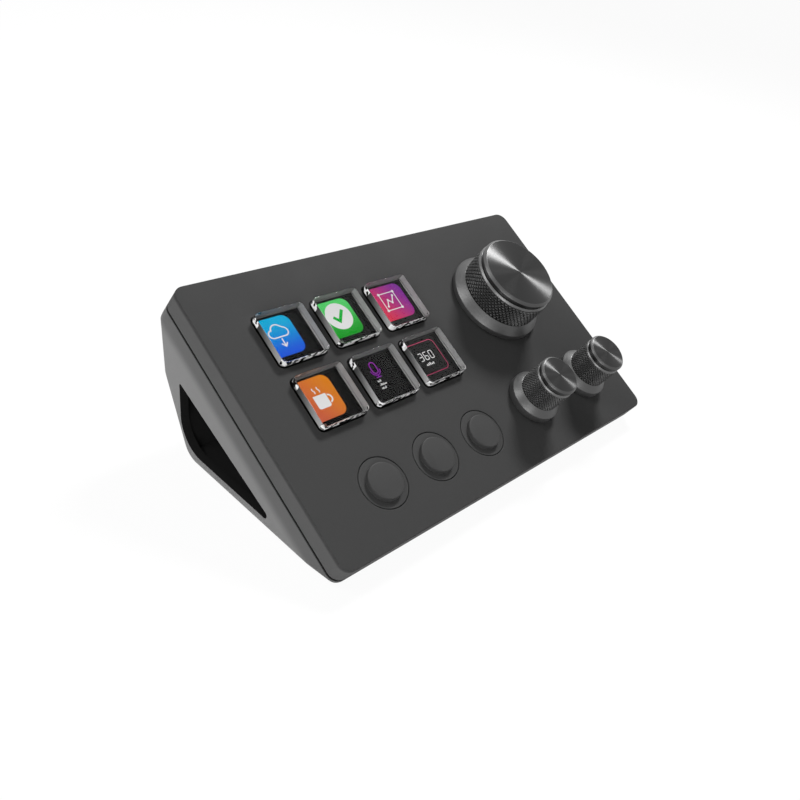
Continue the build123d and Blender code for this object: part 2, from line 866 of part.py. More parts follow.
for name, spot in zip(("main", "left", "right"), knob_spots):
    with BuildPart() as encoder:
        with BuildSketch(at_depth(board_top_depth)):
            with Locations(spot):
                Rectangle(encoder_width, encoder_length)
        extrude(amount=board_top_depth - encoder_top_depth)
        with BuildSketch(at_depth(encoder_top_depth)):
            with Locations(spot):
                Circle(bushing_radius)
        extrude(amount=encoder_top_depth + bushing_rise)
        with BuildSketch(deck.offset(bushing_rise)):
            with Locations(spot):
                Circle(encoder_bore_radius)
        extrude(amount=-(bushing_rise + encoder_bore_depth), mode=Mode.SUBTRACT)
    save(encoder, f"{name}_encoder")

    with BuildPart() as actuator:
        with BuildSketch(at_depth(actuator_bottom_depth)):
            with Locations(spot):
                Circle(encoder_bore_radius - actuator_running_clearance)
        extrude(amount=actuator_thickness)
    save(actuator, f"{name}_actuator")

with BuildPart() as encoder_nuts:
    with BuildSketch(deck.offset(nut_seat)):
        with Locations(*knob_spots):
            RegularPolygon(nut_across_flats / sqrt(3), side_count=6)
            Circle(bushing_radius + nut_thread_clearance, mode=Mode.SUBTRACT)
    extrude(amount=nut_thickness)
save(encoder_nuts, "encoder_nuts")


# ---- knobs -------------------------------------------------------------------------------
bush_pocket_radius = bushing_radius + bush_pocket_clearance
bush_pocket_top = bushing_rise + knob_travel + bush_pocket_clearance


def draw_shaft_section(clearance):
    """Draw the shaft's round section with its flat, larger by a clearance."""
    radius = shaft_radius + clearance
    Circle(radius)
    with Locations((flat_reach + clearance, 0)):
        Rectangle(radius, 2 * radius, align=(Align.MIN, Align.CENTER), mode=Mode.SUBTRACT)


def save_turned(label, spot, profile):
    """Turn a closed outline of (radius, height) points about a control's axis and save it."""
    axis = Axis(origin=deck_point(*spot, 0), direction=deck.z_dir)
    with BuildPart() as piece:
        with BuildSketch(meridian(*spot)):
            with BuildLine():
                Polyline(*profile, close=True)
            make_face()
        revolve(axis=axis)
    save(piece, label)


def save_shaft_and_bush(name, spot, bore_radius, spigot_bottom):
    """Save the metal shaft of one knob and the bush that grips its flat."""
    shaft_top = spigot_bottom - shaft_end_clearance
    flat_bottom = shaft_top - shaft_flat_length
    centre = deck_point(*spot, 0)
    spindle = Plane(origin=centre, x_dir=(1, 0, 0), z_dir=deck.z_dir)

    with BuildPart() as shaft:
        with BuildSketch(spindle.offset(-shaft_bottom_depth)):
            Circle(shaft_radius)
        extrude(amount=shaft_bottom_depth + flat_bottom)
        with BuildSketch(spindle.offset(flat_bottom)):
            draw_shaft_section(0)
        extrude(amount=shaft_flat_length)
    save(shaft, f"{name}_shaft")

    with BuildPart() as bush:
        with BuildSketch(spindle.offset(bush_underside)):
            Circle(bore_radius - bush_wall_clearance)
        extrude(amount=spigot_bottom - bush_underside)
        with BuildSketch(spindle.offset(bush_underside)):
            Circle(bush_pocket_radius)
        extrude(amount=bush_pocket_top - bush_underside, mode=Mode.SUBTRACT)
        with BuildSketch(spindle.offset(bush_pocket_top)):
            draw_shaft_section(bush_bore_clearance)
        extrude(amount=spigot_bottom - bush_pocket_top, mode=Mode.SUBTRACT)
    save(bush, f"{name}_knob_bush")


def save_skirt(name, spot, radius, edge, recess_radius, bore_radius, top, top_radius):
    """Save the coned metal ring at the foot of one knob."""
    profile = [
        (recess_radius, knob_lift),
        (radius, knob_lift),
        (radius, edge),
        (top_radius, top),
        (bore_radius, top),
        (bore_radius, recess_top),
        (recess_radius, recess_top),
    ]
    save_turned(f"{name}_knob_skirt", spot, profile)


def save_grip(name, spot, radius, bore_radius, bottom, top, edge_break):
    """Save the sleeve that the fingers turn."""
    profile = [
        (bore_radius, bottom),
        (radius - edge_break, bottom),
        (radius, bottom + edge_break),
        (radius, top - edge_break),
        (radius - edge_break, top),
        (bore_radius, top),
    ]
    save_turned(f"{name}_knob_grip", spot, profile)


def save_cap(name, spot, bore_radius, spigot_bottom, grip_top, neck, bottom, radius, top, bevel):
    """Save the metal cap that closes one knob, with its spigot and its shadow groove."""
    spigot_radius = bore_radius - bush_wall_clearance
    profile = [
        (0, spigot_bottom),
        (spigot_radius, spigot_bottom),
        (spigot_radius, grip_top),
        (neck, grip_top),
        (neck, bottom),
        (radius, bottom),
        (radius, top - bevel),
        (radius - bevel, top),
        (0, top),
    ]
    save_turned(f"{name}_knob_cap", spot, profile)


save_shaft_and_bush("main", main_spot, main_bore_radius, main_spigot_bottom)
save_skirt(
    "main",
    main_spot,
    radius=main_skirt_radius,
    edge=main_skirt_edge,
    recess_radius=main_recess_radius,
    bore_radius=main_bore_radius,
    top=main_grip_bottom,
    top_radius=main_skirt_top_radius,
)
save_grip(
    "main",
    main_spot,
    radius=main_grip_radius,
    bore_radius=main_bore_radius,
    bottom=main_grip_bottom,
    top=main_grip_top,
    edge_break=main_grip_edge_break,
)
save_cap(
    "main",
    main_spot,
    bore_radius=main_bore_radius,
    spigot_bottom=main_spigot_bottom,
    grip_top=main_grip_top,
    neck=main_neck_radius,
    bottom=main_cap_bottom,
    radius=main_cap_radius,
    top=main_cap_top,
    bevel=main_cap_chamfer,
)

for name, spot in (("left", left_spot), ("right", right_spot)):
    save_shaft_and_bush(name, spot, small_bore_radius, small_spigot_bottom)
    save_skirt(
        name,
        spot,
        radius=small_skirt_radius,
        edge=small_skirt_edge,
        recess_radius=small_recess_radius,
        bore_radius=small_bore_radius,
        top=small_grip_bottom,
        top_radius=small_skirt_top_radius,
    )
    save_grip(
        name,
        spot,
        radius=small_grip_radius,
        bore_radius=small_bore_radius,
        bottom=small_grip_bottom,
        top=small_grip_top,
        edge_break=small_grip_edge_break,
    )
    save_cap(
        name,
        spot,
        bore_radius=small_bore_radius,
        spigot_bottom=small_spigot_bottom,
        grip_top=small_grip_top,
        neck=small_neck_radius,
        bottom=small_cap_bottom,
        radius=small_cap_radius,
        top=small_cap_top,
        bevel=small_cap_chamfer,
    )
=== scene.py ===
"""Looks of a desk keypad: screen keys, push buttons and turning knobs on a sloping deck.

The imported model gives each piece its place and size, in metres. The script adds what the solids
leave out: smooth skins, turned and knurled metal, clear keys over lit displays, and the light.
Lengths that belong to one piece are fields of its class, in millimetres unless named otherwise.
"""
from __future__ import annotations

import json
import logging
from collections.abc import Callable, Iterable, Sequence
from dataclasses import dataclass, field
from enum import Enum
from functools import cache
from math import cos, hypot, pi, radians, sin

import bmesh
import bpy
from mathutils import Matrix, Quaternion, Vector
from mathutils.bvhtree import BVHTree


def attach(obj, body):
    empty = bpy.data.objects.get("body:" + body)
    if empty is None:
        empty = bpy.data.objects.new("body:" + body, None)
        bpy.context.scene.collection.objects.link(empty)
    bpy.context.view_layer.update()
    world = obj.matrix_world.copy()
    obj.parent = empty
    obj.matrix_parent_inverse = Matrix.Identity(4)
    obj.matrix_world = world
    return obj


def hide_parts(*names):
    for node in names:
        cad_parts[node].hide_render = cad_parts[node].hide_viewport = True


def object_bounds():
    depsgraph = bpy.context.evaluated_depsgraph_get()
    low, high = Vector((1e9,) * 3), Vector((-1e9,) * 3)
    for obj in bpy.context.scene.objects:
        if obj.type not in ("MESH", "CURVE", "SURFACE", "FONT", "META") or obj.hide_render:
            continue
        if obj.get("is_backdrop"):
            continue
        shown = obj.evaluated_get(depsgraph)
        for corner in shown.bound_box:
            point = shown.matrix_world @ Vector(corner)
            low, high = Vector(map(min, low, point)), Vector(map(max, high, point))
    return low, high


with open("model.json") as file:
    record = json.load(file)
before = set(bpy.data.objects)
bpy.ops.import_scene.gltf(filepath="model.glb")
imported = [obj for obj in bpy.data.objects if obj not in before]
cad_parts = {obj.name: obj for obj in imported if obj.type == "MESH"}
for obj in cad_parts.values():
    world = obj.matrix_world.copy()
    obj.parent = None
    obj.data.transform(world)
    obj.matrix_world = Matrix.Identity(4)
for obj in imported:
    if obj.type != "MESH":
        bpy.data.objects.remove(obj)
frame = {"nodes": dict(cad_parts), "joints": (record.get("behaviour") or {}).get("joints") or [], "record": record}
cad_low, cad_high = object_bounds()

LOG = logging.getLogger("keypad")
MM = 0.001
TURNED_UV = "turned"
TILE_UV = "tile"
# Name of the painted light and shade on a key's frosted walls, kept per corner.
WALL_PAINTED_SHADE = "wall_painted_shade"

# Angles above which an edge is sharp, on skins, on turned pieces and on flat plates.
SKIN_EDGE = radians(26)
TURNED_EDGE = radians(24)
PLATE_EDGE = radians(30)
# How much of a face's normal points along a direction: it lies level, looks sideways, or is upright.
LEVEL = 0.9
SIDEWAYS = 0.7
UPRIGHT = 0.3
# Lengths that count as none: between corners, at a cut, and for a radius.
SAME_SPOT = 1e-6
ON_CUT = 1e-7
NO_RADIUS = 1e-9

Point = tuple[float, float]
Place = tuple[float, float, float]
Colour = tuple[float, float, float]
Socket = bpy.types.NodeSocket

WHITE: Colour = (1.0, 1.0, 1.0)
BLACK: Colour = (0.0, 0.0, 0.0)


def from_screen(red: float, green: float, blue: float) -> Colour:
    """Turn a screen colour into the linear one that shaders use.

    Args:
        red: Red, from 0 to 255.
        green: Green, from 0 to 255.
        blue: Blue, from 0 to 255.

    Returns:
        The linear colour, from 0 to 1.
    """

    def straighten(level: float) -> float:
        """Undo the screen's curve for one channel."""
        part = level / 255
        return part / 12.92 if part <= 0.04045 else ((part + 0.055) / 1.055) ** 2.4

    return (straighten(red), straighten(green), straighten(blue))


def grey(level: float, warmth: float = 0.0) -> Colour:
    """Return a neutral screen grey from 0 to 255, shifted a little to warm or cool."""
    return from_screen(level + warmth, level, level - warmth)


def scaled(colour: Colour, factor: float, lift: float = 0.0) -> Colour:
    """Return a colour made darker or paler, and held at white."""
    return tuple(min(1.0, channel * factor + lift) for channel in colour)


# ---- the deck's own frame ----------------------------------------------------------------
@dataclass(frozen=True)
class Deck:
    """The sloping face: x to the right, y up the slope and z out of it, in metres.

    Attributes:
        matrix: Takes a point of the deck's frame to the part's frame.
    """

    matrix: Matrix

    @classmethod
    def from_joint(cls, name: str) -> Deck:
        """Find the deck from a turning joint, whose axis stands square on it.

        Args:
            name: The joint's name.

        Returns:
            The deck, with its origin above the middle of the part.
        """
        joint = joint_named(name)
        normal = Vector(joint["axis"]).normalized()
        height = Vector(joint["pos_m"]).dot(normal) / normal.z
        across = Vector((1, 0, 0))
        turn = Matrix((across, normal.cross(across), normal)).transposed().to_4x4()
        return cls(Matrix.Translation((0, 0, height)) @ turn)

    @property
    def normal(self) -> Vector:
        """Return the direction out of the deck."""
        return self.matrix.to_3x3() @ Vector((0, 0, 1))

    def spot_of(self, joint: str) -> Vector:
        """Return where a turning joint's axis meets the deck, in the deck's frame."""
        return self.matrix.inverted() @ Vector(joint_named(joint)["pos_m"])

    def bounds(self, node: str) -> tuple[Vector, Vector]:
        """Measure a node in the deck's frame.

        Args:
            node: The node's name.

        Returns:
            Its lowest and its highest corner.
        """
        back = self.matrix.inverted()
        corners = [back @ vertex.co for vertex in frame["nodes"][node].data.vertices]
        low = Vector(min(corner[axis] for corner in corners) for axis in range(3))
        high = Vector(max(corner[axis] for corner in corners) for axis in range(3))
        return low, high

    def at(self, across: float, along: float, height: float) -> Matrix:
        """Return the frame of a spot on the deck, in metres, turned as the deck is."""
        return self.matrix @ Matrix.Translation((across, along, height))


def joint_named(name: str) -> dict:
    """Return the record of one joint."""
    return next(joint for joint in frame["joints"] if joint["name"] == name)


def body_of(node: str) -> str:
    """Return the body that a node belongs to."""
    bodies = frame["record"]["behaviour"]["bodies"]
    return next(body for body, members in bodies.items() if node in members)


# ---- node trees --------------------------------------------------------------------------
class Wiring:
    """Adds nodes to one tree and joins them."""

    def __init__(self, tree: bpy.types.NodeTree) -> None:
        """Keep the tree that the nodes go into."""
        self.tree = tree

    @classmethod
    def of(cls, owner: bpy.types.Material | bpy.types.World) -> Wiring:
        """Give a material or a world an empty tree.

        Args:
            owner: What the tree belongs to.

        Returns:
            The tree's wiring.
        """
        owner.use_nodes = True
        owner.node_tree.nodes.clear()
        return cls(owner.node_tree)

    def feed(self, socket: Socket, value: object) -> None:
        """Join a socket to another one, or set its own value.

        Args:
            socket: The input to fill.
            value: Another node's output, or a plain value; a colour needs no alpha.
        """
        if isinstance(value, Socket):
            self.tree.links.new(value, socket)
        elif isinstance(value, tuple) and socket.type == "RGBA":
            socket.default_value = (*value, 1.0)[:4]
        else:
            socket.default_value = value

    def fill(self, node: bpy.types.Node, **values: object) -> bpy.types.Node:
        """Feed a node's inputs by name, with _ for each space, and return the node."""
        for name, value in values.items():
            self.feed(node.inputs[name.replace("_", " ")], value)
        return node

    def add(self, kind: str, sockets: dict | None = None, **settings: object) -> bpy.types.Node:
        """Add a node.

        Args:
            kind: Blender's name for the node's type.
            sockets: What each named or numbered input gets.
            **settings: The node's own properties.

        Returns:
            The new node.
        """
        node = self.tree.nodes.new(kind)
        for name, value in settings.items():
            setattr(node, name, value)
        for name, value in (sockets or {}).items():
            self.feed(node.inputs[name], value)
        return node

    def math(self, operation: str, *values: object) -> Socket:
        """Add a Math node over one to three values and return its output."""
        return self.add("ShaderNodeMath", dict(enumerate(values)), operation=operation).outputs[0]

    def dot(self, first: object, second: object) -> Socket:
        """Return the dot product of two vectors."""
        sockets = {0: first, 1: second}
        return self.add("ShaderNodeVectorMath", sockets, operation="DOT_PRODUCT").outputs["Value"]

    def times(self, first: object, second: object) -> Socket:
        """Return the product of two vectors, axis by axis."""
        sockets = {0: first, 1: second}
        return self.add("ShaderNodeVectorMath", sockets, operation="MULTIPLY").outputs[0]

    def remap(
        self, value: object, low: float, high: float, start: float = 0.0, end: float = 1.0
    ) -> Socket:
        """Return a value taken smoothly from one range to another, and held at its ends."""
        sockets = {"Value": value, "From Min": low, "From Max": high, "To Min": start, "To Max": end}
        return self.add("ShaderNodeMapRange", sockets, interpolation_type="SMOOTHSTEP").outputs[0]

    def blend(self, factor: object, low: object, high: object) -> Socket:
        """Mix two colours.

        Args:
            factor: The share of the second one.
            low: The first colour.
            high: The second colour.

        Returns:
            The mixed colour.
        """
        node = self.add("ShaderNodeMix", data_type="RGBA")
        for name, value in (("Factor_Float", factor), ("A_Color", low), ("B_Color", high)):
            self.feed(next(item for item in node.inputs if item.identifier == name), value)
        return next(item for item in node.outputs if item.identifier == "Result_Color")

    def noise(self, vector: object, scale: object, detail: float = 2.0, rough: float = 0.5) -> Socket:
        """Return the value of a noise texture."""
        sockets = {"Vector": vector, "Scale": scale, "Detail": detail, "Roughness": rough}
        return self.add("ShaderNodeTexNoise", sockets).outputs[0]

    def relief(self, height: object, depth: float) -> Socket:
        """Return the normal of a surface with this relief, whose depth is in metres."""
        sockets = {"Height": height, "Distance": depth, "Strength": 1.0}
        return self.add("ShaderNodeBump", sockets).outputs[0]

    def object_place(self) -> Socket:
        """Return the place on the piece, in metres."""
        return self.add("ShaderNodeTexCoord").outputs["Object"]

    def map_named(self, name: str) -> Socket:
        """Return the place on one of the piece's own maps."""
        return self.add("ShaderNodeUVMap", uv_map=name).outputs[0]


class SharedEffect:
    """A shader node group that several finishes use, built once.

    Attributes:
        name: The group's name.
        inputs: Each input with its value, or None for a vector.
        outputs: The outputs' names.
    """

    name = ""
    inputs: dict[str, float | None] = {}
    outputs: tuple[str, ...] = ()

    def wire(self, wiring: Wiring, given: dict[str, Socket]) -> dict[str, Socket]:
        """Build the inside of the group.

        Args:
            wiring: The group's own wiring.
            given: The group's input sockets by name.

        Returns:
            What each named output gives.
        """
        raise NotImplementedError

    def tree(self) -> bpy.types.NodeTree:
        """Make the group's tree, unless it is there.

        Returns:
            The tree, which every finish shares.
        """
        made = bpy.data.node_groups.get(self.name)
        if made:
            return made
        tree = bpy.data.node_groups.new(self.name, "ShaderNodeTree")
        for label, preset in self.inputs.items():
            kind = "NodeSocketVector" if preset is None else "NodeSocketFloat"
            socket = tree.interface.new_socket(name=label, in_out="INPUT", socket_type=kind)
            if preset is not None:
                socket.default_value = preset
        for label in self.outputs:
            tree.interface.new_socket(name=label, in_out="OUTPUT", socket_type="NodeSocketFloat")
        wiring = Wiring(tree)
        start = wiring.add("NodeGroupInput")
        given = {label: start.outputs[label] for label in self.inputs}
        wiring.add("NodeGroupOutput", self.wire(wiring, given))
        return tree

    def place(self, wiring: Wiring, **given: object) -> bpy.types.NodeOutputs:
        """Put the group into a material, with a value for each input, and return its outputs."""
        return wiring.fill(wiring.add("ShaderNodeGroup", node_tree=self.tree()), **given).outputs


class MouldedGrain(SharedEffect):
    """The fine orange-peel grain of a spark-eroded mould, with a softer roll under it."""

    name = "moulded_grain"
    inputs = {"Place": None, "Grain size": 0.0003}
    outputs = ("Height", "Shade")
    roll = 0.12
    shares = (0.75, 0.25)

    def wire(self, wiring: Wiring, given: dict[str, Socket]) -> dict[str, Socket]:
        """Add a fine and a coarse noise."""
        scale = wiring.math("DIVIDE", 1.0, given["Grain size"])
        fine = wiring.noise(given["Place"], scale, detail=3.0, rough=0.6)
        coarse = wiring.noise(given["Place"], wiring.math("MULTIPLY", scale, self.roll), detail=1.0)
        parts = [wiring.math("MULTIPLY", *pair) for pair in zip((fine, coarse), self.shares)]
        return {"Height": wiring.math("ADD", *parts), "Shade": fine}


class Handling(SharedEffect):
    """Faint smears and dust that change the gloss in slow patches."""

    name = "handling"
    inputs = {"Place": None, "Patch size": 0.02}
    outputs = ("Smear",)

    def wire(self, wiring: Wiring, given: dict[str, Socket]) -> dict[str, Socket]:
        """Lift the patches out of a slow noise."""
        scale = wiring.math("DIVIDE", 1.0, given["Patch size"])
        patches = wiring.noise(given["Place"], scale, detail=4.0, rough=0.65)
        return {"Smear": wiring.remap(patches, 0.35, 0.7)}


class TurnedRings(SharedEffect):
    """Fine rings that a lathe tool leaves, by the distance along the outline."""

    name = "turned_rings"
    inputs = {"Unrolled": None, "Ring pitch": 0.08}
    outputs = ("Height", "Streak")
    slow_scale = (6.0, 6.0, 0.35)

    def wire(self, wiring: Wiring, given: dict[str, Socket]) -> dict[str, Socket]:
        """Read noise along the outline, nearly unchanged round the axis."""
        parts = wiring.add("ShaderNodeSeparateXYZ", {0: given["Unrolled"]}).outputs
        along = wiring.math("DIVIDE", parts["Y"], given["Ring pitch"])
        angle = wiring.math("MULTIPLY", parts["X"], 2 * pi)
        spot = {0: wiring.math("COSINE", angle), 1: wiring.math("SINE", angle), 2: along}
        around = wiring.add("ShaderNodeCombineXYZ", spot).outputs[0]
        fine = wiring.noise(around, 1.0, detail=3.0, rough=0.7)
        slow = wiring.noise(wiring.times(around, self.slow_scale), 1.0, detail=2.0)
        return {"Height": fine, "Streak": wiring.math("MULTIPLY", wiring.math("ADD", fine, slow), 0.5)}


class EdgeWearAndHighlight(SharedEffect):
    """A mask that rises where two faces meet within a small radius, for wear and for a painted edge highlight."""

    name = "edge_wear_and_highlight"
    inputs = {"Reach": 0.0003}
    outputs = ("Edge",)

    def wire(self, wiring: Wiring, given: dict[str, Socket]) -> dict[str, Socket]:
        """Compare the surface's normal with one that is rounded over the reach."""
        rounded = wiring.add("ShaderNodeBevel", {"Radius": given["Reach"]}, samples=4).outputs[0]
        plain = wiring.add("ShaderNodeNewGeometry").outputs["Normal"]
        return {"Edge": wiring.remap(wiring.dot(rounded, plain), 1.0, 0.8)}


def wear_and_highlight_edges(wiring: Wiring, reach: float, wear_and_highlight: float, body: object, pale: Colour) -> Socket:
    """Fade a colour to a pale one at edges, as wear and as a painted highlight.

    Args:
        wiring: The material's wiring.
        reach: How far from an edge the paling reaches, in metres.
        wear_and_highlight: How strong it is.
        body: The colour away from edges.
        pale: The colour of a pale edge, worn or with a painted highlight.

    Returns:
        The faded colour.
    """
    # Paler edges: wear on most pieces, and a painted highlight line along edges such as the deck's.
    edge = EdgeWearAndHighlight().place(wiring, Reach=reach)["Edge"]
    return wiring.blend(wiring.math("MULTIPLY", edge, wear_and_highlight), body, pale)


# ---- finishes ----------------------------------------------------------------------------
@dataclass(frozen=True)
class Finish:
    """What every finish shares.

    Attributes:
        name: The material's name.
    """

    name: str

    @cache
    def material(self) -> bpy.types.Material:
        """Make this finish's material, the first time it is asked for.

        Returns:
            The material, which all pieces with this finish share.
        """
        material = bpy.data.materials.new(self.name)
        wiring = Wiring.of(material)
        shader = wiring.add("ShaderNodeBsdfPrincipled")
        wiring.add("ShaderNodeOutputMaterial", {"Surface": shader.outputs[0]})
        wiring.fill(shader, **self.look(wiring))
        return material

    def look(self, wiring: Wiring) -> dict[str, object]:
        """Build what the shader is fed with.

        Args:
            wiring: The material's wiring.

        Returns:
            What each of the shader's inputs gets, with _ for each space in a name.
        """
        raise NotImplementedError


@dataclass(frozen=True)
class MouldedPlastic(Finish):
    """Satin moulded plastic with a fine grain, paler at its edges as wear and a painted highlight.

    Attributes:
        colour: The plastic's colour.
        roughness: How matt it is.
        grain: Size of the grain in metres.
        depth: Depth of the grain in metres.
        shine: The shader's specular level.
        wear_and_highlight: How much paler an edge is, as wear and a painted highlight.
        speckle: How much paler the grain's peaks are.
        patch: Size of a smear in metres.
        reach: Width of a pale edge in metres.
    """

    colour: Colour = grey(69)
    roughness: float = 0.5
    grain: float = 0.00035
    depth: float = 0.000012
    shine: float = 0.35
    wear_and_highlight: float = 0.25
    speckle: float = 0.16
    patch: float = 0.018
    reach: float = 0.0003

    def body_colour(self, wiring: Wiring, place: Socket) -> object:
        """Return the colour before grain and wear."""
        return self.colour

    def look(self, wiring: Wiring) -> dict[str, object]:
        """Join grain, smears and edge wear."""
        place = wiring.object_place()
        grain = MouldedGrain().place(wiring, Place=place, Grain_size=self.grain)
        smear = Handling().place(wiring, Place=place, Patch_size=self.patch)["Smear"]
        peaks = wiring.math("MULTIPLY", grain["Shade"], self.speckle)
        body = wiring.blend(peaks, self.body_colour(wiring, place), scaled(self.colour, 1.7))
        pale = scaled(self.colour, 1.8, 0.01)
        return {
            "Base_Color": wear_and_highlight_edges(wiring, self.reach, self.wear_and_highlight, body, pale),
            "Roughness": wiring.remap(smear, 0.0, 1.0, self.roughness + 0.03, self.roughness - 0.04),
            "Normal": wiring.relief(grain["Height"], self.depth),
            "Specular_IOR_Level": self.shine,
        }


@dataclass(frozen=True)
class ShellPlastic(MouldedPlastic):
    """The housing's plastic: black in the seam as a painted shadow, darker near the deck and paler below it as
    painted light.

    Attributes:
        painted_light_colour: The colour below the band, painted light for the stronger light on the lower walls.
        seam: Depth under the deck down to which it is black as the seam's painted shadow, in metres.
        seam_edge: Width of the seam's lower edge in metres.
        seam_shadow_colour: The painted shadow in the seam.
        band_start: Depth where the change to the painted light colour starts, in metres.
        band_end: Depth where it ends, in metres.
        deck: The deck that the depth is measured from.
    """

    painted_light_colour: Colour = grey(112)
    seam: float = 0.00592
    seam_edge: float = 0.00005
    seam_shadow_colour: Colour = grey(8)
    band_start: float = 0.0085
    band_end: float = 0.0125
    deck: Deck | None = None

    def __hash__(self) -> int:
        """Tell finishes apart by their names."""
        return hash(self.name)

    def body_colour(self, wiring: Wiring, place: Socket) -> Socket:
        """Change the colour by the depth under the deck: painted light lower down, and a painted shadow in the
        seam.

        Args:
            wiring: The material's wiring.
            place: The place on the piece.

        Returns:
            The colour before grain and wear.
        """
        normal = self.deck.normal
        level = self.deck.matrix.translation.dot(normal)
        depth = wiring.math("SUBTRACT", level, wiring.dot(place, tuple(normal)))
        # Painted light: the walls grow paler with depth, where the light falls more strongly.
        share = wiring.remap(depth, self.band_start, self.band_end)
        wall = wiring.blend(share, self.colour, self.painted_light_colour)
        # Painted shadow: black down to the seam's depth.
        below = wiring.remap(depth, self.seam - self.seam_edge, self.seam)
        return wiring.blend(below, self.seam_shadow_colour, wall)


@dataclass(frozen=True)
class TurnedMetal(Finish):
    """Dark anodised metal with the rings of a lathe tool round its axis.

    Attributes:
        colour: The metal's colour.
        roughness: How matt it is.
        stretch: How far a highlight is drawn out across the rings.
        pitch: Distance between rings, in millimetres.
        depth: Depth of the rings in metres.
        wear_and_highlight: How much paler an edge is, as wear and a painted highlight.
        reach: Width of a pale edge in metres.
    """

    colour: Colour = grey(96)
    roughness: float = 0.32
    stretch: float = 0.8
    pitch: float = 0.09
    depth: float = 0.000004
    wear_and_highlight: float = 0.5
    reach: float = 0.00025

    def look(self, wiring: Wiring) -> dict[str, object]:
        """Join rings, streaks and worn edges."""
        rings = TurnedRings().place(wiring, Unrolled=wiring.map_named(TURNED_UV), Ring_pitch=self.pitch)
        streak = rings["Streak"]
        body = wiring.blend(streak, scaled(self.colour, 0.8), scaled(self.colour, 1.25))
        tangent = wiring.add("ShaderNodeTangent", direction_type="UV_MAP", uv_map=TURNED_UV)
        return {
            "Base_Color": wear_and_highlight_edges(wiring, self.reach, self.wear_and_highlight, body, scaled(self.colour, 2.2)),
            "Roughness": wiring.remap(streak, 0.3, 0.7, self.roughness - 0.05, self.roughness + 0.05),
            "Normal": wiring.relief(rings["Height"], self.depth),
            "Tangent": tangent.outputs[0],
            "Metallic": 1.0,
            "Anisotropic": self.stretch,
            "Anisotropic_Rotation": 0.25,
        }


@dataclass(frozen=True)
class KnurledMetal(Finish):
    """Black anodised metal whose knurled points are paler: a little wear and a painted highlight.

    Attributes:
        colour: The metal's colour.
        roughness: How matt it is.
        wear_and_highlight: How much paler the points are at their edges, as wear and a painted highlight.
        etch: Size of the etch's grain in metres.
        depth: Depth of the etch in metres.
        reach: Width of a pale edge in metres.
    """

    colour: Colour = grey(52)
    roughness: float = 0.42
    wear_and_highlight: float = 0.35
    etch: float = 0.00012
    depth: float = 0.000006
    reach: float = 0.0001

    def look(self, wiring: Wiring) -> dict[str, object]:
        """Join a fine etch and worn points."""
        etch = MouldedGrain().place(wiring, Place=wiring.object_place(), Grain_size=self.etch)
        pale = scaled(self.colour, 3.0)
        rough = wiring.remap(etch["Shade"], 0.3, 0.7, self.roughness - 0.06, self.roughness + 0.06)
        return {
            "Base_Color": wear_and_highlight_edges(wiring, self.reach, self.wear_and_highlight, self.colour, pale),
            "Roughness": rough,
            "Normal": wiring.relief(etch["Height"], self.depth),
            "Metallic": 1.0,
        }


@dataclass(frozen=True)
class Acrylic(Finish):
    """Clear polished acrylic, whose faces mirror nothing.

    Attributes:
        tint: The colour of light that has passed it.
        index: Its refractive index.
    """

    tint: Colour = WHITE
    index: float = 1.47

    def look(self, wiring: Wiring) -> dict[str, object]:
        """Set a clear block without roughness or glare."""
        glass = {"Base_Color": self.tint, "Roughness": 0.0, "IOR": self.index}
        return glass | {"Transmission_Weight": 1.0, "Specular_Tint": BLACK}


@dataclass(frozen=True)
class PaintedGlintAcrylic(Finish):
    """Facets of an acrylic corner and front whose base colour is black or white: painted reflections and glints.

    Attributes:
        facet: Size of a facet in metres.
        dark: Colour of a facet painted as a reflection of the dark inside.
        bright: Colour of a facet painted as a glint, a reflection of the room.
        split: Where in the facets' range dark turns to bright.
        gloss: Roughness of the smoothest and of the roughest facet.
        tilt: Depth of the facets' relief in metres.
        index: The acrylic's refractive index.
    """

    facet: float = 0.0008
    dark: Colour = grey(6)
    bright: Colour = grey(255)
    split: Point = (0.42, 0.55)
    gloss: Point = (0.1, 0.3)
    tilt: float = 0.0001
    index: float = 1.47

    def look(self, wiring: Wiring) -> dict[str, object]:
        """Give each cell of a grid its own painted reflection, black or white, and its own tilt."""
        mapped = {"Vector": wiring.object_place(), "Scale": (1 / self.facet,) * 3}
        place = wiring.add("ShaderNodeMapping", mapped).outputs[0]
        cells = wiring.add("ShaderNodeTexVoronoi", {"Vector": place, "Scale": 1.0}).outputs
        tone = wiring.add("ShaderNodeSeparateXYZ", {0: cells["Color"]}).outputs
        # Painted reflections: each cell's base colour is near black or white.
        return {
            "Base_Color": wiring.blend(wiring.remap(tone[0], *self.split), self.dark, self.bright),
            "Normal": wiring.relief(cells["Distance"], self.tilt),
            "Roughness": wiring.remap(tone[1], 0.0, 1.0, *self.gloss),
            "IOR": self.index,
        }


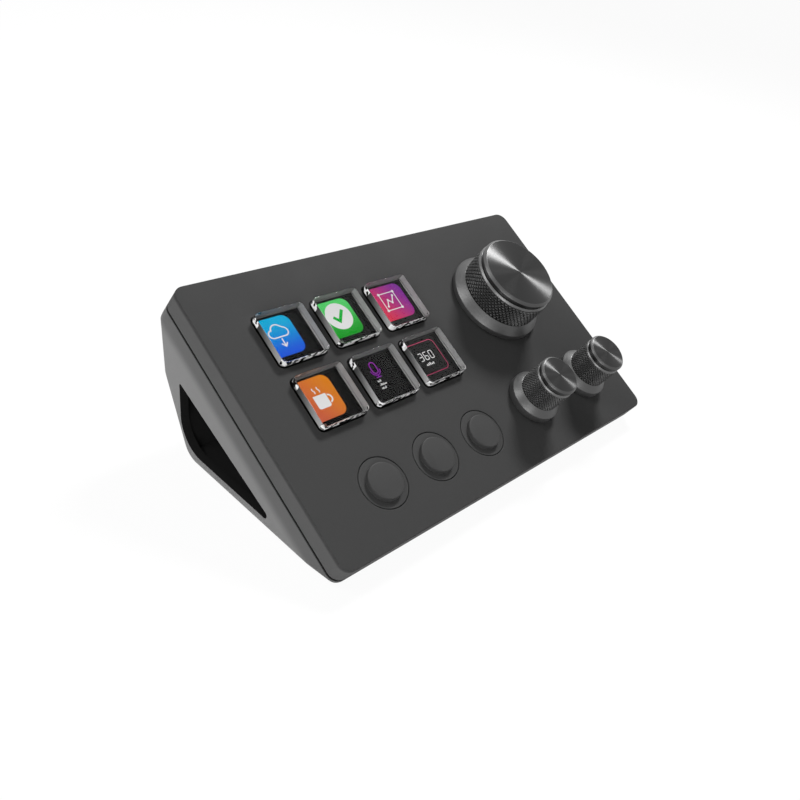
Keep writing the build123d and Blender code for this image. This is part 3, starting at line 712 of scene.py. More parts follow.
@dataclass(frozen=True)
class FrostedWall(Finish):
    """A rough wall of a clear block, which looks different through the block, darkened by a painted shade per
    corner.

    Attributes:
        outside: Its colour from outside.
        inside: Its colour through the block.
        frost: Size of the frost's grain in metres.
        depth: Depth of the frost in metres.
    """

    outside: Colour = grey(205)
    inside: Colour = grey(214)
    frost: float = 0.00018
    depth: float = 0.000008

    def look(self, wiring: Wiring) -> dict[str, object]:
        """Choose the colour by the side that is seen, darken it by the painted shade, with a fine frost on both.
        """
        frost = MouldedGrain().place(wiring, Place=wiring.object_place(), Grain_size=self.frost)
        through = wiring.add("ShaderNodeNewGeometry").outputs["Backfacing"]
        body = wiring.blend(through, self.outside, self.inside)
        # Painted light and shade: each corner's tone darkens the frost towards black.
        tone = wiring.add("ShaderNodeAttribute", attribute_name=WALL_PAINTED_SHADE).outputs["Fac"]
        share = wiring.math("MULTIPLY", tone, wiring.remap(frost["Shade"], 0.3, 0.7, 1.0, 0.8))
        return {
            "Base_Color": wiring.blend(share, BLACK, body),
            "Roughness": wiring.remap(frost["Shade"], 0.3, 0.7, 0.45, 0.6),
            "Normal": wiring.relief(frost["Height"], self.depth),
            "Specular_IOR_Level": 0.1,
        }


@dataclass(frozen=True)
class DisplayGlass(Finish):
    """The black glass of a display that is off, with its grid of dots just visible.

    Attributes:
        colour: The colour of the dots.
        dot: Distance between dots in metres.
        patch: Size of a smear in metres.
    """

    colour: Colour = grey(5)
    dot: float = 0.00012
    patch: float = 0.004

    def look(self, wiring: Wiring) -> dict[str, object]:
        """Join the grid of dots."""
        place = wiring.object_place()
        grid = {"Vector": place, "Scale": 1 / self.dot, "Randomness": 0.0}
        cells = wiring.add("ShaderNodeTexVoronoi", grid, distance="CHEBYCHEV").outputs
        share = wiring.remap(cells["Distance"], 0.25, 0.5)
        smear = Handling().place(wiring, Place=place, Patch_size=self.patch)["Smear"]
        return {
            "Base_Color": BLACK,
            "Emission_Color": wiring.blend(share, BLACK, self.colour),
            "Emission_Strength": 1.0,
            "Roughness": wiring.remap(smear, 0.0, 1.0, 0.06, 0.12),
            "Specular_IOR_Level": 0.0,
        }


@dataclass(frozen=True)
class LitTile(Finish):
    """A lit field of a display, which changes colour from one side to the other.

    Attributes:
        start: The colour at the start of the sweep.
        end: The colour at its end.
        sweep: The direction of the sweep over the tile, across and up.
        strength: How bright it is lit.
        dots: How many dots a metre holds.
        dimming: How much darker the darkest dot is.
    """

    start: Colour = WHITE
    end: Colour = WHITE
    sweep: Point = (0.0, 1.0)
    strength: float = 0.86
    dots: float = 9000.0
    dimming: float = 0.08

    def look(self, wiring: Wiring) -> dict[str, object]:
        """Sweep the colour over the tile's own map, with a faint change from dot to dot."""
        along = wiring.dot(wiring.map_named(TILE_UV), (*self.sweep, 0.0))
        low = sum(min(0.0, part) for part in self.sweep)
        high = sum(max(0.0, part) for part in self.sweep)
        sweep = wiring.blend(wiring.remap(along, low, high), self.start, self.end)
        dots = wiring.noise(wiring.object_place(), self.dots, detail=0.0)
        return {
            "Base_Color": grey(4),
            "Emission_Color": wiring.blend(wiring.remap(dots, 0.3, 0.7, 0.0, self.dimming), sweep, BLACK),
            "Emission_Strength": self.strength,
            "Roughness": 0.12,
            "Specular_IOR_Level": 0.0,
        }


@dataclass(frozen=True)
class DrawnSteel(Finish):
    """Plated or blackened steel with fine drawing lines.

    Attributes:
        colour: The metal's colour.
        roughness: How matt it is.
        lines: How many times finer the lines are across than along.
        depth: Depth of the lines in metres.
    """

    colour: Colour = grey(180)
    roughness: float = 0.3
    lines: float = 12.0
    depth: float = 0.000003

    def look(self, wiring: Wiring) -> dict[str, object]:
        """Stretch a noise into lines."""
        mapped = {"Vector": wiring.object_place(), "Scale": (1.0, self.lines, self.lines)}
        lines = wiring.noise(wiring.add("ShaderNodeMapping", mapped).outputs[0], 900.0, detail=3.0)
        return {
            "Base_Color": wiring.blend(lines, scaled(self.colour, 0.8), self.colour),
            "Roughness": wiring.remap(lines, 0.3, 0.7, self.roughness - 0.06, self.roughness + 0.08),
            "Normal": wiring.relief(lines, self.depth),
            "Metallic": 1.0,
        }


@dataclass(frozen=True)
class SolderMask(Finish):
    """Dark green lacquer over copper tracks.

    Attributes:
        colour: The lacquer's colour.
        track_pitch: Distance between tracks in metres.
        depth: Height of a track in metres.
        patch: Size of a smear in metres.
    """

    colour: Colour = from_screen(12, 58, 36)
    track_pitch: float = 0.0016
    depth: float = 0.00003
    patch: float = 0.01

    def look(self, wiring: Wiring) -> dict[str, object]:
        """Raise straight runs of track in a maze of cells."""
        place = wiring.object_place()
        maze = {"Vector": place, "Scale": 1 / self.track_pitch, "Randomness": 0.6}
        cells = wiring.add("ShaderNodeTexVoronoi", maze, distance="MANHATTAN").outputs
        track = wiring.remap(cells["Distance"], 0.42, 0.5)
        smear = Handling().place(wiring, Place=place, Patch_size=self.patch)["Smear"]
        return {
            "Base_Color": wiring.blend(track, self.colour, scaled(self.colour, 1.9)),
            "Normal": wiring.relief(track, self.depth),
            "Roughness": wiring.remap(smear, 0.0, 1.0, 0.28, 0.4),
            "Specular_IOR_Level": 0.5,
        }


# ---- meshes ------------------------------------------------------------------------------
Cut = tuple[Sequence[float], Sequence[float]]


def add_object(name: str, data: bpy.types.ID) -> bpy.types.Object:
    """Add an object to the scene.

    Args:
        name: Its name.
        data: Its mesh, lamp or camera.

    Returns:
        The new object, at the origin.
    """
    made = bpy.data.objects.new(name, data)
    bpy.context.scene.collection.objects.link(made)
    return made


def finish_mesh(bm: bmesh.types.BMesh, name: str, sharp_above: float) -> bpy.types.Mesh:
    """Turn a bmesh into a smooth mesh whose sharp edges stay sharp.

    Args:
        bm: The mesh to take over, which is freed.
        name: The new mesh's name.
        sharp_above: The angle in radians above which an edge is sharp.

    Returns:
        The new mesh.
    """
    mesh = bpy.data.meshes.new(name)
    bm.to_mesh(mesh)
    bm.free()
    mesh.shade_smooth()
    mesh.set_sharp_from_angle(angle=sharp_above)
    return mesh


def new_piece(
    name: str, mesh: bpy.types.Mesh, body: str, slot: str, node: str | None = None
) -> bpy.types.Object:
    """Add a finished mesh to the scene as one piece.

    Args:
        name: The piece's name.
        mesh: Its mesh, in the part's frame.
        body: The body that it moves with.
        slot: The record's material slot; not used.
        node: The node that it stands for, if it stands for one.

    Returns:
        The new object.
    """
    piece = add_object(name, mesh)
    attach(piece, body)
    if node:
        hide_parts(node)
    LOG.info("%s rides on %s with %d faces", name, body, len(mesh.polygons))
    return piece


def merged_copy(node: str, deck: Deck | None = None, cuts: Iterable[Cut] = ()) -> bpy.types.Mesh:
    """Return a copy of a node's mesh with its loose triangles joined and made smooth.

    Args:
        node: The node to copy.
        deck: The deck whose frame the cuts are given in.
        cuts: Planes that divide faces, each by a point and a normal.

    Returns:
        The new mesh.
    """
    source = frame["nodes"][node].data
    bm = bmesh.new()
    corners = [bm.verts.new(vertex.co) for vertex in source.vertices]
    for polygon in source.polygons:
        bm.faces.new([corners[index] for index in polygon.vertices])
    bmesh.ops.remove_doubles(bm, verts=bm.verts, dist=SAME_SPOT)
    for point, normal in cuts:
        geometry = [*bm.verts, *bm.edges, *bm.faces]
        spot, way = deck.matrix @ Vector(point), deck.matrix.to_3x3() @ Vector(normal)
        bmesh.ops.bisect_plane(bm, geom=geometry, dist=ON_CUT, plane_co=spot, plane_no=way)
    return finish_mesh(bm, f"{node}_skin", SKIN_EDGE)


def skin(node: str, name: str, finish: Finish, slot: str) -> bpy.types.Object:
    """Replace a node by a smooth skin of its own shape.

    Args:
        node: The node to replace.
        name: The new piece's name.
        finish: What it is finished with.
        slot: The record's material slot.

    Returns:
        The new piece.
    """
    mesh = merged_copy(node)
    mesh.materials.append(finish.material())
    return new_piece(name, mesh, body_of(node), slot, node)


def dress(nodes: Iterable[str], finish: Finish) -> None:
    """Give nodes that stay as they are a finish of their own.

    Args:
        nodes: The nodes' names.
        finish: What they are finished with.
    """
    for node in nodes:
        materials = frame["nodes"][node].data.materials
        materials.clear()
        materials.append(finish.material())
        LOG.info("%s keeps its shape and gets %s", node, finish.name)


def arc(centre: Point, radius: float, start: float, end: float, steps: int = 12) -> list[Point]:
    """Return points along an arc, with its angles in degrees."""
    turns = [radians(start + (end - start) * step / steps) for step in range(steps + 1)]
    return [(centre[0] + radius * cos(turn), centre[1] + radius * sin(turn)) for turn in turns]


def softened(profile: Sequence[Point], radius: float, steps: int = 3) -> list[Point]:
    """Round each corner of a closed outline that doesn't lie on its axis.

    Args:
        profile: The outline's corners, as (radius, height).
        radius: The rounding, which is held to a third of the shorter side.
        steps: How many faces a corner gets.

    Returns:
        The outline with its corners rounded.
    """
    points: list[Point] = []
    count = len(profile)
    for index, corner in enumerate(profile):
        before, after = Vector(profile[index - 1]), Vector(profile[(index + 1) % count])
        here = Vector(corner)
        if corner[0] < NO_RADIUS:
            points.append(corner)
            continue
        reach = min(radius, (before - here).length / 3, (after - here).length / 3)
        first = here + (before - here).normalized() * reach
        last = here + (after - here).normalized() * reach
        for step in range(steps + 1):
            share = step / steps
            spot = first.lerp(here, share).lerp(here.lerp(last, share), share)
            points.append((spot.x, spot.y))
    return points


def turned_mesh(name: str, profile: Sequence[Point], place: Matrix, segments: int) -> bpy.types.Mesh:
    """Turn a closed outline about an axis, with a map of the angle and the way along it.

    Args:
        name: The mesh's name.
        profile: The outline as (radius, height), in millimetres; a radius of 0 is a pole.
        place: The frame whose z is the axis.
        segments: Faces round the axis.

    Returns:
        A closed mesh in the part's frame.
    """
    bm = bmesh.new()
    rings = []
    turns = [2 * pi * step / segments for step in range(segments)]
    for radius, height in profile:
        if radius < NO_RADIUS:
            rings.append([bm.verts.new((0, 0, height * MM))] * segments)
            continue
        reach = radius * MM
        rings.append([bm.verts.new((reach * cos(turn), reach * sin(turn), height * MM)) for turn in turns])
    unrolled = bm.loops.layers.uv.new(TURNED_UV)
    lengths = [0.0]
    count = len(profile)
    for index in range(count):
        here, after = profile[index], profile[(index + 1) % count]
        lengths.append(lengths[-1] + hypot(after[0] - here[0], after[1] - here[1]))
    for index in range(count):
        lower, upper = rings[index], rings[(index + 1) % count]
        if lower[0] is lower[1] and upper[0] is upper[1]:
            continue
        for step in range(segments):
            after = (step + 1) % segments
            corners = [
                (lower[step], step, lengths[index]),
                (lower[after], step + 1, lengths[index]),
                (upper[after], step + 1, lengths[index + 1]),
                (upper[step], step, lengths[index + 1]),
            ]
            if lower[step] is lower[after]:
                corners = [(lower[step], step + 0.5, lengths[index]), corners[2], corners[3]]
            elif upper[step] is upper[after]:
                corners = [corners[0], corners[1], (upper[step], step + 0.5, lengths[index + 1])]
            face = bm.faces.new([corner[0] for corner in corners])
            for loop, (_, turn, length) in zip(face.loops, corners):
                loop[unrolled].uv = (turn / segments, length)
    bmesh.ops.recalc_face_normals(bm, faces=bm.faces)
    bm.transform(place)
    return finish_mesh(bm, name, TURNED_EDGE)


class Pen:
    """Draws thin closed plates on a display, in the display's own millimetres.

    Attributes:
        mitre: The least share of a line's width that a bend is mitred by.
        trim: The share of a segment's width that it is short at each end.
    """

    mitre = 0.4
    trim = 0.3

    def __init__(self, place: Matrix, thickness: float) -> None:
        """Start an empty drawing.

        Args:
            place: The frame of the display, in metres.
            thickness: Thickness of what is drawn, in millimetres.
        """
        self.bm = bmesh.new()
        self.spread = self.bm.loops.layers.uv.new(TILE_UV)
        self.place = place
        self.thickness = thickness

    def plate(self, outline: Sequence[Point], faces: list[list[int]] | None = None) -> None:
        """Draw a filled shape.

        Args:
            outline: Its corners, which go round to the left.
            faces: The corners of each face by number, where one face isn't enough.
        """
        faces = faces or [list(range(len(outline)))]
        bottom = [self.bm.verts.new((x * MM, y * MM, 0)) for x, y in outline]
        lift = Vector((0, 0, self.thickness * MM))
        top = [self.bm.verts.new(vertex.co + lift) for vertex in bottom]
        for face in faces:
            self.bm.faces.new([top[index] for index in face])
            self.bm.faces.new([bottom[index] for index in reversed(face)])
        sides = dict.fromkeys(side for face in faces for side in zip(face, face[1:] + face[:1]))
        for first, second in sides:
            if (second, first) not in sides:
                self.bm.faces.new([bottom[first], bottom[second], top[second], top[first]])

    def stroke(self, path: Sequence[Point], width: float, closed: bool = False) -> None:
        """Draw a line of even width along a path.

        Args:
            path: The points that the line follows.
            width: Its width.
            closed: Whether the last point joins the first.
        """
        points = [Vector(point) for point in path]
        count = len(points)
        left, right = [], []
        for index, here in enumerate(points):
            before = points[index - 1] if closed or index else None
            after = points[(index + 1) % count] if closed or index < count - 1 else None
            ways = [(here - before).normalized()] if before is not None else []
            ways += [(after - here).normalized()] if after is not None else []
            way = sum(ways, Vector((0, 0))).normalized()
            side = Vector((-way.y, way.x))
            reach = width / 2 / max(self.mitre, side.dot(Vector((-ways[0].y, ways[0].x))))
            left.append(here + side * reach)
            right.append(here - side * reach)
        outline = [(spot.x, spot.y) for spot in left + right]
        runs = [(index, (index + 1) % count) for index in range(count if closed else count - 1)]
        self.plate(outline, [[first, count + first, count + last, last] for first, last in runs])

    def disc(self, centre: Point, radius: float, steps: int) -> None:
        """Draw a filled circle."""
        self.plate(arc(centre, radius, 0, 360, steps)[:-1])

    def bar(self, corner: Point, width: float, height: float) -> None:
        """Draw a filled rectangle from its lower left corner."""
        x, y = corner
        self.plate([(x, y), (x + width, y), (x + width, y + height), (x, y + height)])

    def digit(self, lit: str, corner: Point, width: float, height: float, line: float) -> None:
        """Draw a number of seven straight segments.

        Args:
            lit: The letters a to g of the segments that are lit, clockwise from the top.
            corner: The lower left corner.
            width: The number's width.
            height: The number's height.
            line: The width of a segment.
        """
        left, bottom = corner
        right, middle, top = left + width, bottom + height / 2, bottom + height
        ends = {
            "a": ((left, top), (right, top)),
            "b": ((right, top), (right, middle)),
            "c": ((right, middle), (right, bottom)),
            "d": ((left, bottom), (right, bottom)),
            "e": ((left, middle), (left, bottom)),
            "f": ((left, top), (left, middle)),
            "g": ((left, middle), (right, middle)),
        }
        for letter in lit:
            first, last = (Vector(end) for end in ends[letter])
            trim = (last - first).normalized() * line * self.trim
            self.stroke([tuple(first + trim), tuple(last - trim)], line)

    def finish(self, name: str, finish: Finish, lift: float) -> None:
        """Turn the drawing into a piece.

        Args:
            name: The piece's name.
            finish: What it is lit with.
            lift: How far it lies above the display's frame, in millimetres.
        """
        xs = [vertex.co.x for vertex in self.bm.verts]
        ys = [vertex.co.y for vertex in self.bm.verts]
        left, bottom = min(xs), min(ys)
        width, height = max(xs) - left, max(ys) - bottom
        for face in self.bm.faces:
            for loop in face.loops:
                spot = loop.vert.co
                loop[self.spread].uv = ((spot.x - left) / width, (spot.y - bottom) / height)
        self.bm.transform(self.place @ Matrix.Translation((0, 0, lift * MM)))
        mesh = finish_mesh(self.bm, name, PLATE_EDGE)
        mesh.materials.append(finish.material())
        new_piece(name, mesh, "base", "screen_glass")


# ---- the housing -------------------------------------------------------------------------
@dataclass
class Housing:
    """The cover, the wedge, the base plate and what holds them together.

    Attributes:
        deck: The deck's frame.
        sight: How far above a face the look at its surroundings starts.
        hollow: Finish of the wedge's inside, near black as painted shade.
        base: Finish of the base plate.
        rubber: Finish of the pad.
        screws: Finish of the screws.
    """

    deck: Deck
    sight: float = 0.05
    # Near black inside: painted shade for the recesses that look at other parts of the wedge.
    hollow: Finish = MouldedPlastic("hollow_black", grey(22), roughness=0.8, shine=0.1, wear_and_highlight=0.1)
    base: Finish = MouldedPlastic("satin_base", grey(28))
    rubber: Finish = MouldedPlastic(
        "pad_rubber", grey(17), roughness=0.85, grain=0.0006, depth=0.00004, shine=0.2, wear_and_highlight=0.1
    )
    screws: Finish = DrawnSteel("black_screws", grey(70), roughness=0.35)

    def build(self) -> None:
        """Make the skins and dress the fasteners."""
        # The wedge: paler low down as painted light, with a painted shadow in the seam.
        shell = ShellPlastic("satin_shell", grey(76), deck=self.deck)
        # The cover: its side band paler than the top as painted light, a strong pale edge as a painted highlight
        # line, and no seam.
        cover = ShellPlastic(
            "satin_deck", grey(58), roughness=0.6, shine=0.02, wear_and_highlight=0.7, painted_light_colour=grey(82),
            seam=-0.001, band_start=0.0004, band_end=0.0012, deck=self.deck,
        )
        skin("top_cover", "cover", cover, "deck_plastic")
        wedge = skin("lower_housing", "wedge_shell", shell, "housing_plastic")
        self._paint_hollow_shade(wedge.data)
        skin("base_plate", "base_cover", self.base, "base_plastic")
        skin("base_pad", "grip_pad", self.rubber, "pad_rubber")
        dress(["base_screws", "case_screws", "board_screws"], self.screws)

    def _paint_hollow_shade(self, mesh: bpy.types.Mesh) -> None:
        """Give the faces inside the wedge a near black painted shade: those that look at another part of it.

        Args:
            mesh: The wedge's skin.
        """
        mesh.materials.append(self.hollow.material())
        corners = [vertex.co for vertex in mesh.vertices]
        tree = BVHTree.FromPolygons(corners, [tuple(polygon.vertices) for polygon in mesh.polygons])
        # A face that looks at another part of the wedge lies in a recess and gets the painted shade.
        for polygon in mesh.polygons:
            start = polygon.center + polygon.normal * self.sight * MM
            polygon.material_index = int(tree.ray_cast(start, polygon.normal)[0] is not None)


# ---- the screen keys ---------------------------------------------------------------------
class Zone(Enum):
    """The kinds of face on a clear key."""

    POLISHED = 0
    FROSTED = 1
    MASKED = 2
    CHIPPED = 3
    FOOT = 4


ZONE_FINISHES: dict[Zone, Finish] = {
    Zone.POLISHED: Acrylic("clear_acrylic"),
    Zone.FROSTED: FrostedWall("frosted_wall"),
    # Low on the walls, the outside is black: a painted shadow in the gap round the key.
    Zone.MASKED: FrostedWall("masked_wall", outside=grey(8)),
    # Painted glints: facets painted black or white where the corner and the front would mirror the inside or the
    # room.
    Zone.CHIPPED: PaintedGlintAcrylic("chipped_acrylic"),
    Zone.FOOT: MouldedPlastic("key_foot", grey(9), roughness=0.4, wear_and_highlight=0.0),
}


class Motif(Enum):
    """What a display shows."""

    CLOUD = "cloud"
    CHECK = "check"
    CHART = "chart"
    MUG = "mug"
    MICROPHONE = "microphone"
    NUMBER = "number"


@dataclass(frozen=True)
class Layout:
    """Where a picture lies on its display, in millimetres from the key's middle.

    Attributes:
        middle: The middle of the sign.
        tile_right: The lit tile's right edge.
        tile_bottom: Its lower edge.
        tile: The tile's finish, where the display has one.
    """

    middle: Point
    tile_right: float = 0.0
    tile_bottom: float = 0.0
    tile: LitTile | None = None


LAYOUTS = {
    Motif.CLOUD: Layout(
        (-2.0, 1.4), 3.5, -4.6, LitTile("blue_tile", from_screen(24, 88, 226), from_screen(10, 178, 226))
    ),
    Motif.CHECK: Layout(
        (-0.6, 1.7), 4.9, -4.6, LitTile("green_tile", from_screen(2, 158, 26), from_screen(84, 214, 108))
    ),
    Motif.CHART: Layout(
        (0.0, 1.6), 6.4, -4.5,
        LitTile("violet_tile", from_screen(226, 44, 64), from_screen(120, 22, 150), (1.0, 0.5)),
    ),
    Motif.MUG: Layout(
        (-1.5, 0.7), 3.8, -5.1,
        LitTile("amber_tile", from_screen(206, 92, 66), from_screen(226, 132, 18), (1.0, 0.6)),
    ),
    Motif.MICROPHONE: Layout((-0.5, 2.9)),
    Motif.NUMBER: Layout((-0.5, 0.8)),
}


@dataclass
class ScreenKey:
    """One clear key over its display.

    Attributes:
        number: The key's number, from 1.
        motif: What its display shows.
        deck: The deck's frame.
        gap_shadow_top: Height under which the walls are black outside as a painted shadow in the gap, in
            millimetres.
        flange_top: Height under which the cap is its black foot.
        window: Height above which a face that looks down is the block's window.
        flange: How far the foot stands out round the block.
        chipped: How far the corner with painted glints reaches along the back and the left wall.
        front_glints: How far the painted glints at the front reach along the side walls.
        rim: Width of the frosted rim under the block at its right, back and front.
        edge_round: The solid's rounding round the top.
        edge_kept: Share of that rounding that the clear cap keeps.
        wall_corner: Rounding of the block's upright corners.
        left_painted_shade: Least tone of the left wall's frost, and what it gains to the front, as painted light
            and shade.
        back_painted_shade: Tone of the frost at the back, a painted shade.
        back_rim: Where the back starts on the rim, from -1 in front to 1.
        open_painted_shade: Tone of the frost elsewhere, in the same painted shade.
        bezel: Width of the frame round the display.
        recess: Depth of the display's recess.
        panel_gap: Gap round the glass in its recess.
        glass: Thickness of the display's glass.
        tile_left: The lit tile's left edge from the key's middle.
        tile_top: Its upper edge.
        tile_corner: Rounding of its right corners.
        tile_thick: Its thickness.
        sign_thick: Thickness of the sign.
        sign_lift: Height of the sign over the glass.
        mark_lift: Height of a mark that lies on a sign.
        white: Light of most signs.
        leaf: Light of the check mark.
        violet: Light of the microphone.
        rose: Light of the outline round the number.
    """

    number: int
    motif: Motif
    deck: Deck
    gap_shadow_top: float = 0.15
    flange_top: float = -1.6
    window: float = -2.6
    flange: float = 1.0
    chipped: Point = (2.6, 3.0)
    front_glints: float = 1.2
    rim: Place = (0.4, 0.36, 0.95)
    edge_round: float = 0.45
    edge_kept: float = 0.3
    wall_corner: float = 1.2
    left_painted_shade: Point = (0.06, 0.2)
    back_painted_shade: float = 0.35
    back_rim: float = 0.9
    open_painted_shade: float = 0.8
    bezel: float = 0.5
    recess: float = 0.15
    panel_gap: float = 0.05
    glass: float = 0.13
    tile_left: float = -6.9
    tile_top: float = 6.8
    tile_corner: float = 2.4
    tile_thick: float = 0.01
    sign_thick: float = 0.008
    sign_lift: float = 0.012
    mark_lift: float = 0.022
    white: LitTile = LitTile("lit_white", grey(238), grey(232))
    leaf: LitTile = LitTile("lit_green", from_screen(8, 178, 52), from_screen(20, 186, 62))
    violet: LitTile = LitTile("lit_violet", from_screen(150, 22, 190), from_screen(176, 30, 206))
    rose: LitTile = LitTile("lit_rose", from_screen(176, 44, 92), from_screen(204, 70, 110))

    def build(self) -> None:
        """Make the cap, the display and what it shows."""
        self._cap()
        self._display()
        self._tile()
        drawings: dict[Motif, Callable[[], None]] = {
            Motif.CLOUD: self._cloud,
            Motif.CHECK: self._check,
            Motif.CHART: self._chart,
            Motif.MUG: self._mug,
            Motif.MICROPHONE: self._microphone,
            Motif.NUMBER: self._number,
        }
        drawings[self.motif]()

    def _zone(self, spot: Vector, normal: Vector, corner: Vector) -> Zone:
        """Choose the finish of one face of the cap.

        Args:
            spot: The face's middle, from the cap's middle, with the height above the deck.
            normal: Its normal in the deck's frame.
            corner: Half the block's width and length.

        Returns:
            The face's zone.
        """
        spot, corner = spot / MM, corner / MM
        right, back, front = self.rim
        if spot.z < self.flange_top:
            if normal.z > -LEVEL or spot.z < self.window:
                return Zone.FOOT
            inside = spot.x < corner.x - right and front - corner.y < spot.y < corner.y - back
            return Zone.POLISHED if inside else Zone.FROSTED
        if abs(normal.z) > UPRIGHT:
            return Zone.POLISHED
        # Painted shadow in the gap under the deck.
        if spot.z < self.gap_shadow_top:
            return Zone.MASKED
        # Painted glints at the back left corner and along the front.
        in_corner = spot.x < self.chipped[0] - corner.x and spot.y > corner.y - self.chipped[1]
        return Zone.CHIPPED if in_corner or spot.y < self.front_glints - corner.y else Zone.FROSTED

    def _painted_shade(self, facing: Vector, along: float) -> float:
        """Choose the painted light and shade on the frost: dark at the back, and on the left paler to the front.

        Args:
            facing: The face's normal in the deck's frame.
            along: The place from -1 at the front to 1 at the back.

        Returns:
            The share of the frost's colour.
        """
        if facing.x < -SIDEWAYS:
            return self.left_painted_shade[0] + self.left_painted_shade[1] * (1.0 - along) ** 2
        if facing.y > SIDEWAYS or (facing.z < -LEVEL and along > self.back_rim):
            return self.back_painted_shade
        return self.open_painted_shade

    def _sharpen(self, mesh: bpy.types.Mesh, middle: Vector, corner: Vector, top: float) -> None:
        """Draw the rounding round the top in to a narrow one.

        Args:
            mesh: The cap's mesh.
            middle: The cap's middle in the deck's frame.
            corner: Half the block's width and length.
            top: Height of the block's top.
        """
        crease = top - self.edge_round * MM
        core = Vector((corner.x, corner.y)) - Vector((1, 1)) * self.wall_corner * MM
        back = self.deck.matrix.inverted()
        for vertex in mesh.vertices:
            spot = back @ vertex.co
            across, along = spot.x - middle.x, spot.y - middle.y
            out = Vector((max(abs(across) - core.x, 0.0), max(abs(along) - core.y, 0.0)))
            if spot.z < crease + SAME_SPOT:
                continue
            spot.z = crease + (spot.z - crease) * self.edge_kept
            if out.length > (self.wall_corner - self.edge_round) * MM - SAME_SPOT:
                kept = self.wall_corner * MM - (self.wall_corner * MM - out.length) * self.edge_kept
                out *= kept / out.length - 1
                spot.x += out.x if across > 0 else -out.x
                spot.y += out.y if along > 0 else -out.y
            vertex.co = self.deck.matrix @ spot

    def _cap(self) -> None:
        """Make the clear cap, with frosted walls, a black foot, a painted shadow low on the walls and painted
        glints.
        """
        node = f"key_cap_{self.number}"
        low, high = self.deck.bounds(node)
        middle = (low + high) / 2
        flange = self.flange * MM
        corner = (high - low) / 2 - Vector((flange, flange, 0))
        right, rear, front = self.rim
        across = [self.chipped[0] * MM - corner.x, corner.x - right * MM]
        along = [edge * MM - corner.y for edge in (self.front_glints, front)]
        along += [corner.y - edge * MM for edge in (self.chipped[1], rear)]
        cuts = [((0, 0, self.gap_shadow_top * MM), (0, 0, 1))]
        cuts += [((middle.x + spot, 0, 0), (1, 0, 0)) for spot in across]
        cuts += [((0, middle.y + spot, 0), (0, 1, 0)) for spot in along]
        mesh = merged_copy(node, self.deck, cuts)
        self._sharpen(mesh, middle, corner, high.z)
        self._finish_faces(mesh, middle, corner)
        new_piece(f"key_{self.number}_cap", mesh, body_of(node), "key_acrylic", node)

    def _finish_faces(self, mesh: bpy.types.Mesh, middle: Vector, corner: Vector) -> None:
        """Give each face of the cap its finish and its painted shade.

        Args:
            mesh: The cap's mesh.
            middle: The cap's middle in the deck's frame.
            corner: Half the block's width and length.
        """
        for zone in Zone:
            mesh.materials.append(ZONE_FINISHES[zone].material())
        back = self.deck.matrix.inverted()
        turn = back.to_3x3()
        painted_shades = mesh.attributes.new(WALL_PAINTED_SHADE, "FLOAT", "CORNER").data
        for polygon in mesh.polygons:
            spot = back @ polygon.center - Vector((middle.x, middle.y, 0))
            facing = turn @ polygon.normal
            polygon.material_index = self._zone(spot, facing, corner).value
            for loop, vertex in zip(polygon.loop_indices, polygon.vertices):
                along = ((back @ mesh.vertices[vertex].co).y - middle.y) / corner.y
                painted_shades[loop].value = self._painted_shade(facing, along)

    def _face(self, height: float = 0.0) -> Matrix:
        """Find the display's face.

        Args:
            height: How far above the recess's floor it lies, in metres.

        Returns:
            Its frame, with the origin in its middle.
        """
        low, high = self.deck.bounds(f"screen_{self.number}")
        middle = (low + high) / 2
        return self.deck.at(middle.x, middle.y, high.z - self.recess * MM + height)

    def _display(self) -> None:
        """Make the glass in the screen's recess."""
        node = f"screen_{self.number}"
        dress([node], MouldedPlastic("screen_frame", grey(12), roughness=0.4, wear_and_highlight=0.0))
        low, high = self.deck.bounds(node)
        edge = (self.bezel * MM, self.panel_gap * MM)
        width, length = (((high - low)[axis] / 2 - edge[0] - edge[1]) / MM for axis in range(2))
        pen = Pen(self._face(), self.glass)
        pen.plate([(-width, -length), (width, -length), (width, length), (-width, length)])
        pen.finish(f"display_{self.number}", DisplayGlass("display_glass"), 0.0)

    def _tile(self) -> None:
        """Make the lit tile, where there is one, square on the left and rounded on the right."""
        layout = LAYOUTS[self.motif]
        if layout.tile is None:
            return
        left, top, radius = self.tile_left, self.tile_top, self.tile_corner
        right, bottom = layout.tile_right, layout.tile_bottom
        outline = [(left, bottom)]
        outline += arc((right - radius, bottom + radius), radius, -90, 0)
        outline += arc((right - radius, top - radius), radius, 0, 90)
        outline.append((left, top))
        pen = Pen(self._face(self.glass * MM), self.tile_thick)
        pen.plate(outline)
        pen.finish(f"tile_{self.number}", layout.tile, 0.0)

    def _drawing(self) -> Pen:
        """Return a pen whose origin is the middle of the sign."""
        across, along = LAYOUTS[self.motif].middle
        place = self._face(self.glass * MM) @ Matrix.Translation((across * MM, along * MM, 0))
        return Pen(place, self.sign_thick)

    def _cloud(self) -> None:
        """Draw a cloud with an arrow under it."""
        pen, line = self._drawing(), 0.34
        outline = arc((-1.6, 0.7), 1.2, 265, 95) + arc((0.1, 1.5), 1.75, 170, 35)
        pen.stroke(outline + arc((1.8, 0.8), 1.3, 75, -95), line, closed=True)
        pen.stroke([(0.1, -1.0), (0.1, -3.2)], line)
        pen.stroke([(-0.8, -2.4), (0.1, -3.4), (1.0, -2.4)], line)
        pen.finish("sign_1", self.white, self.sign_lift)

    def _check(self) -> None:
        """Draw a disc with a check mark on it."""
        disc = self._drawing()
        disc.disc((0.0, 0.0), 4.2, 64)
        disc.finish("sign_2", self.white, self.sign_lift)
        mark = self._drawing()
        mark.stroke([(-2.0, 0.1), (-0.6, -1.5), (2.0, 1.7)], 0.95)
        mark.finish("sign_2_mark", self.leaf, self.mark_lift)

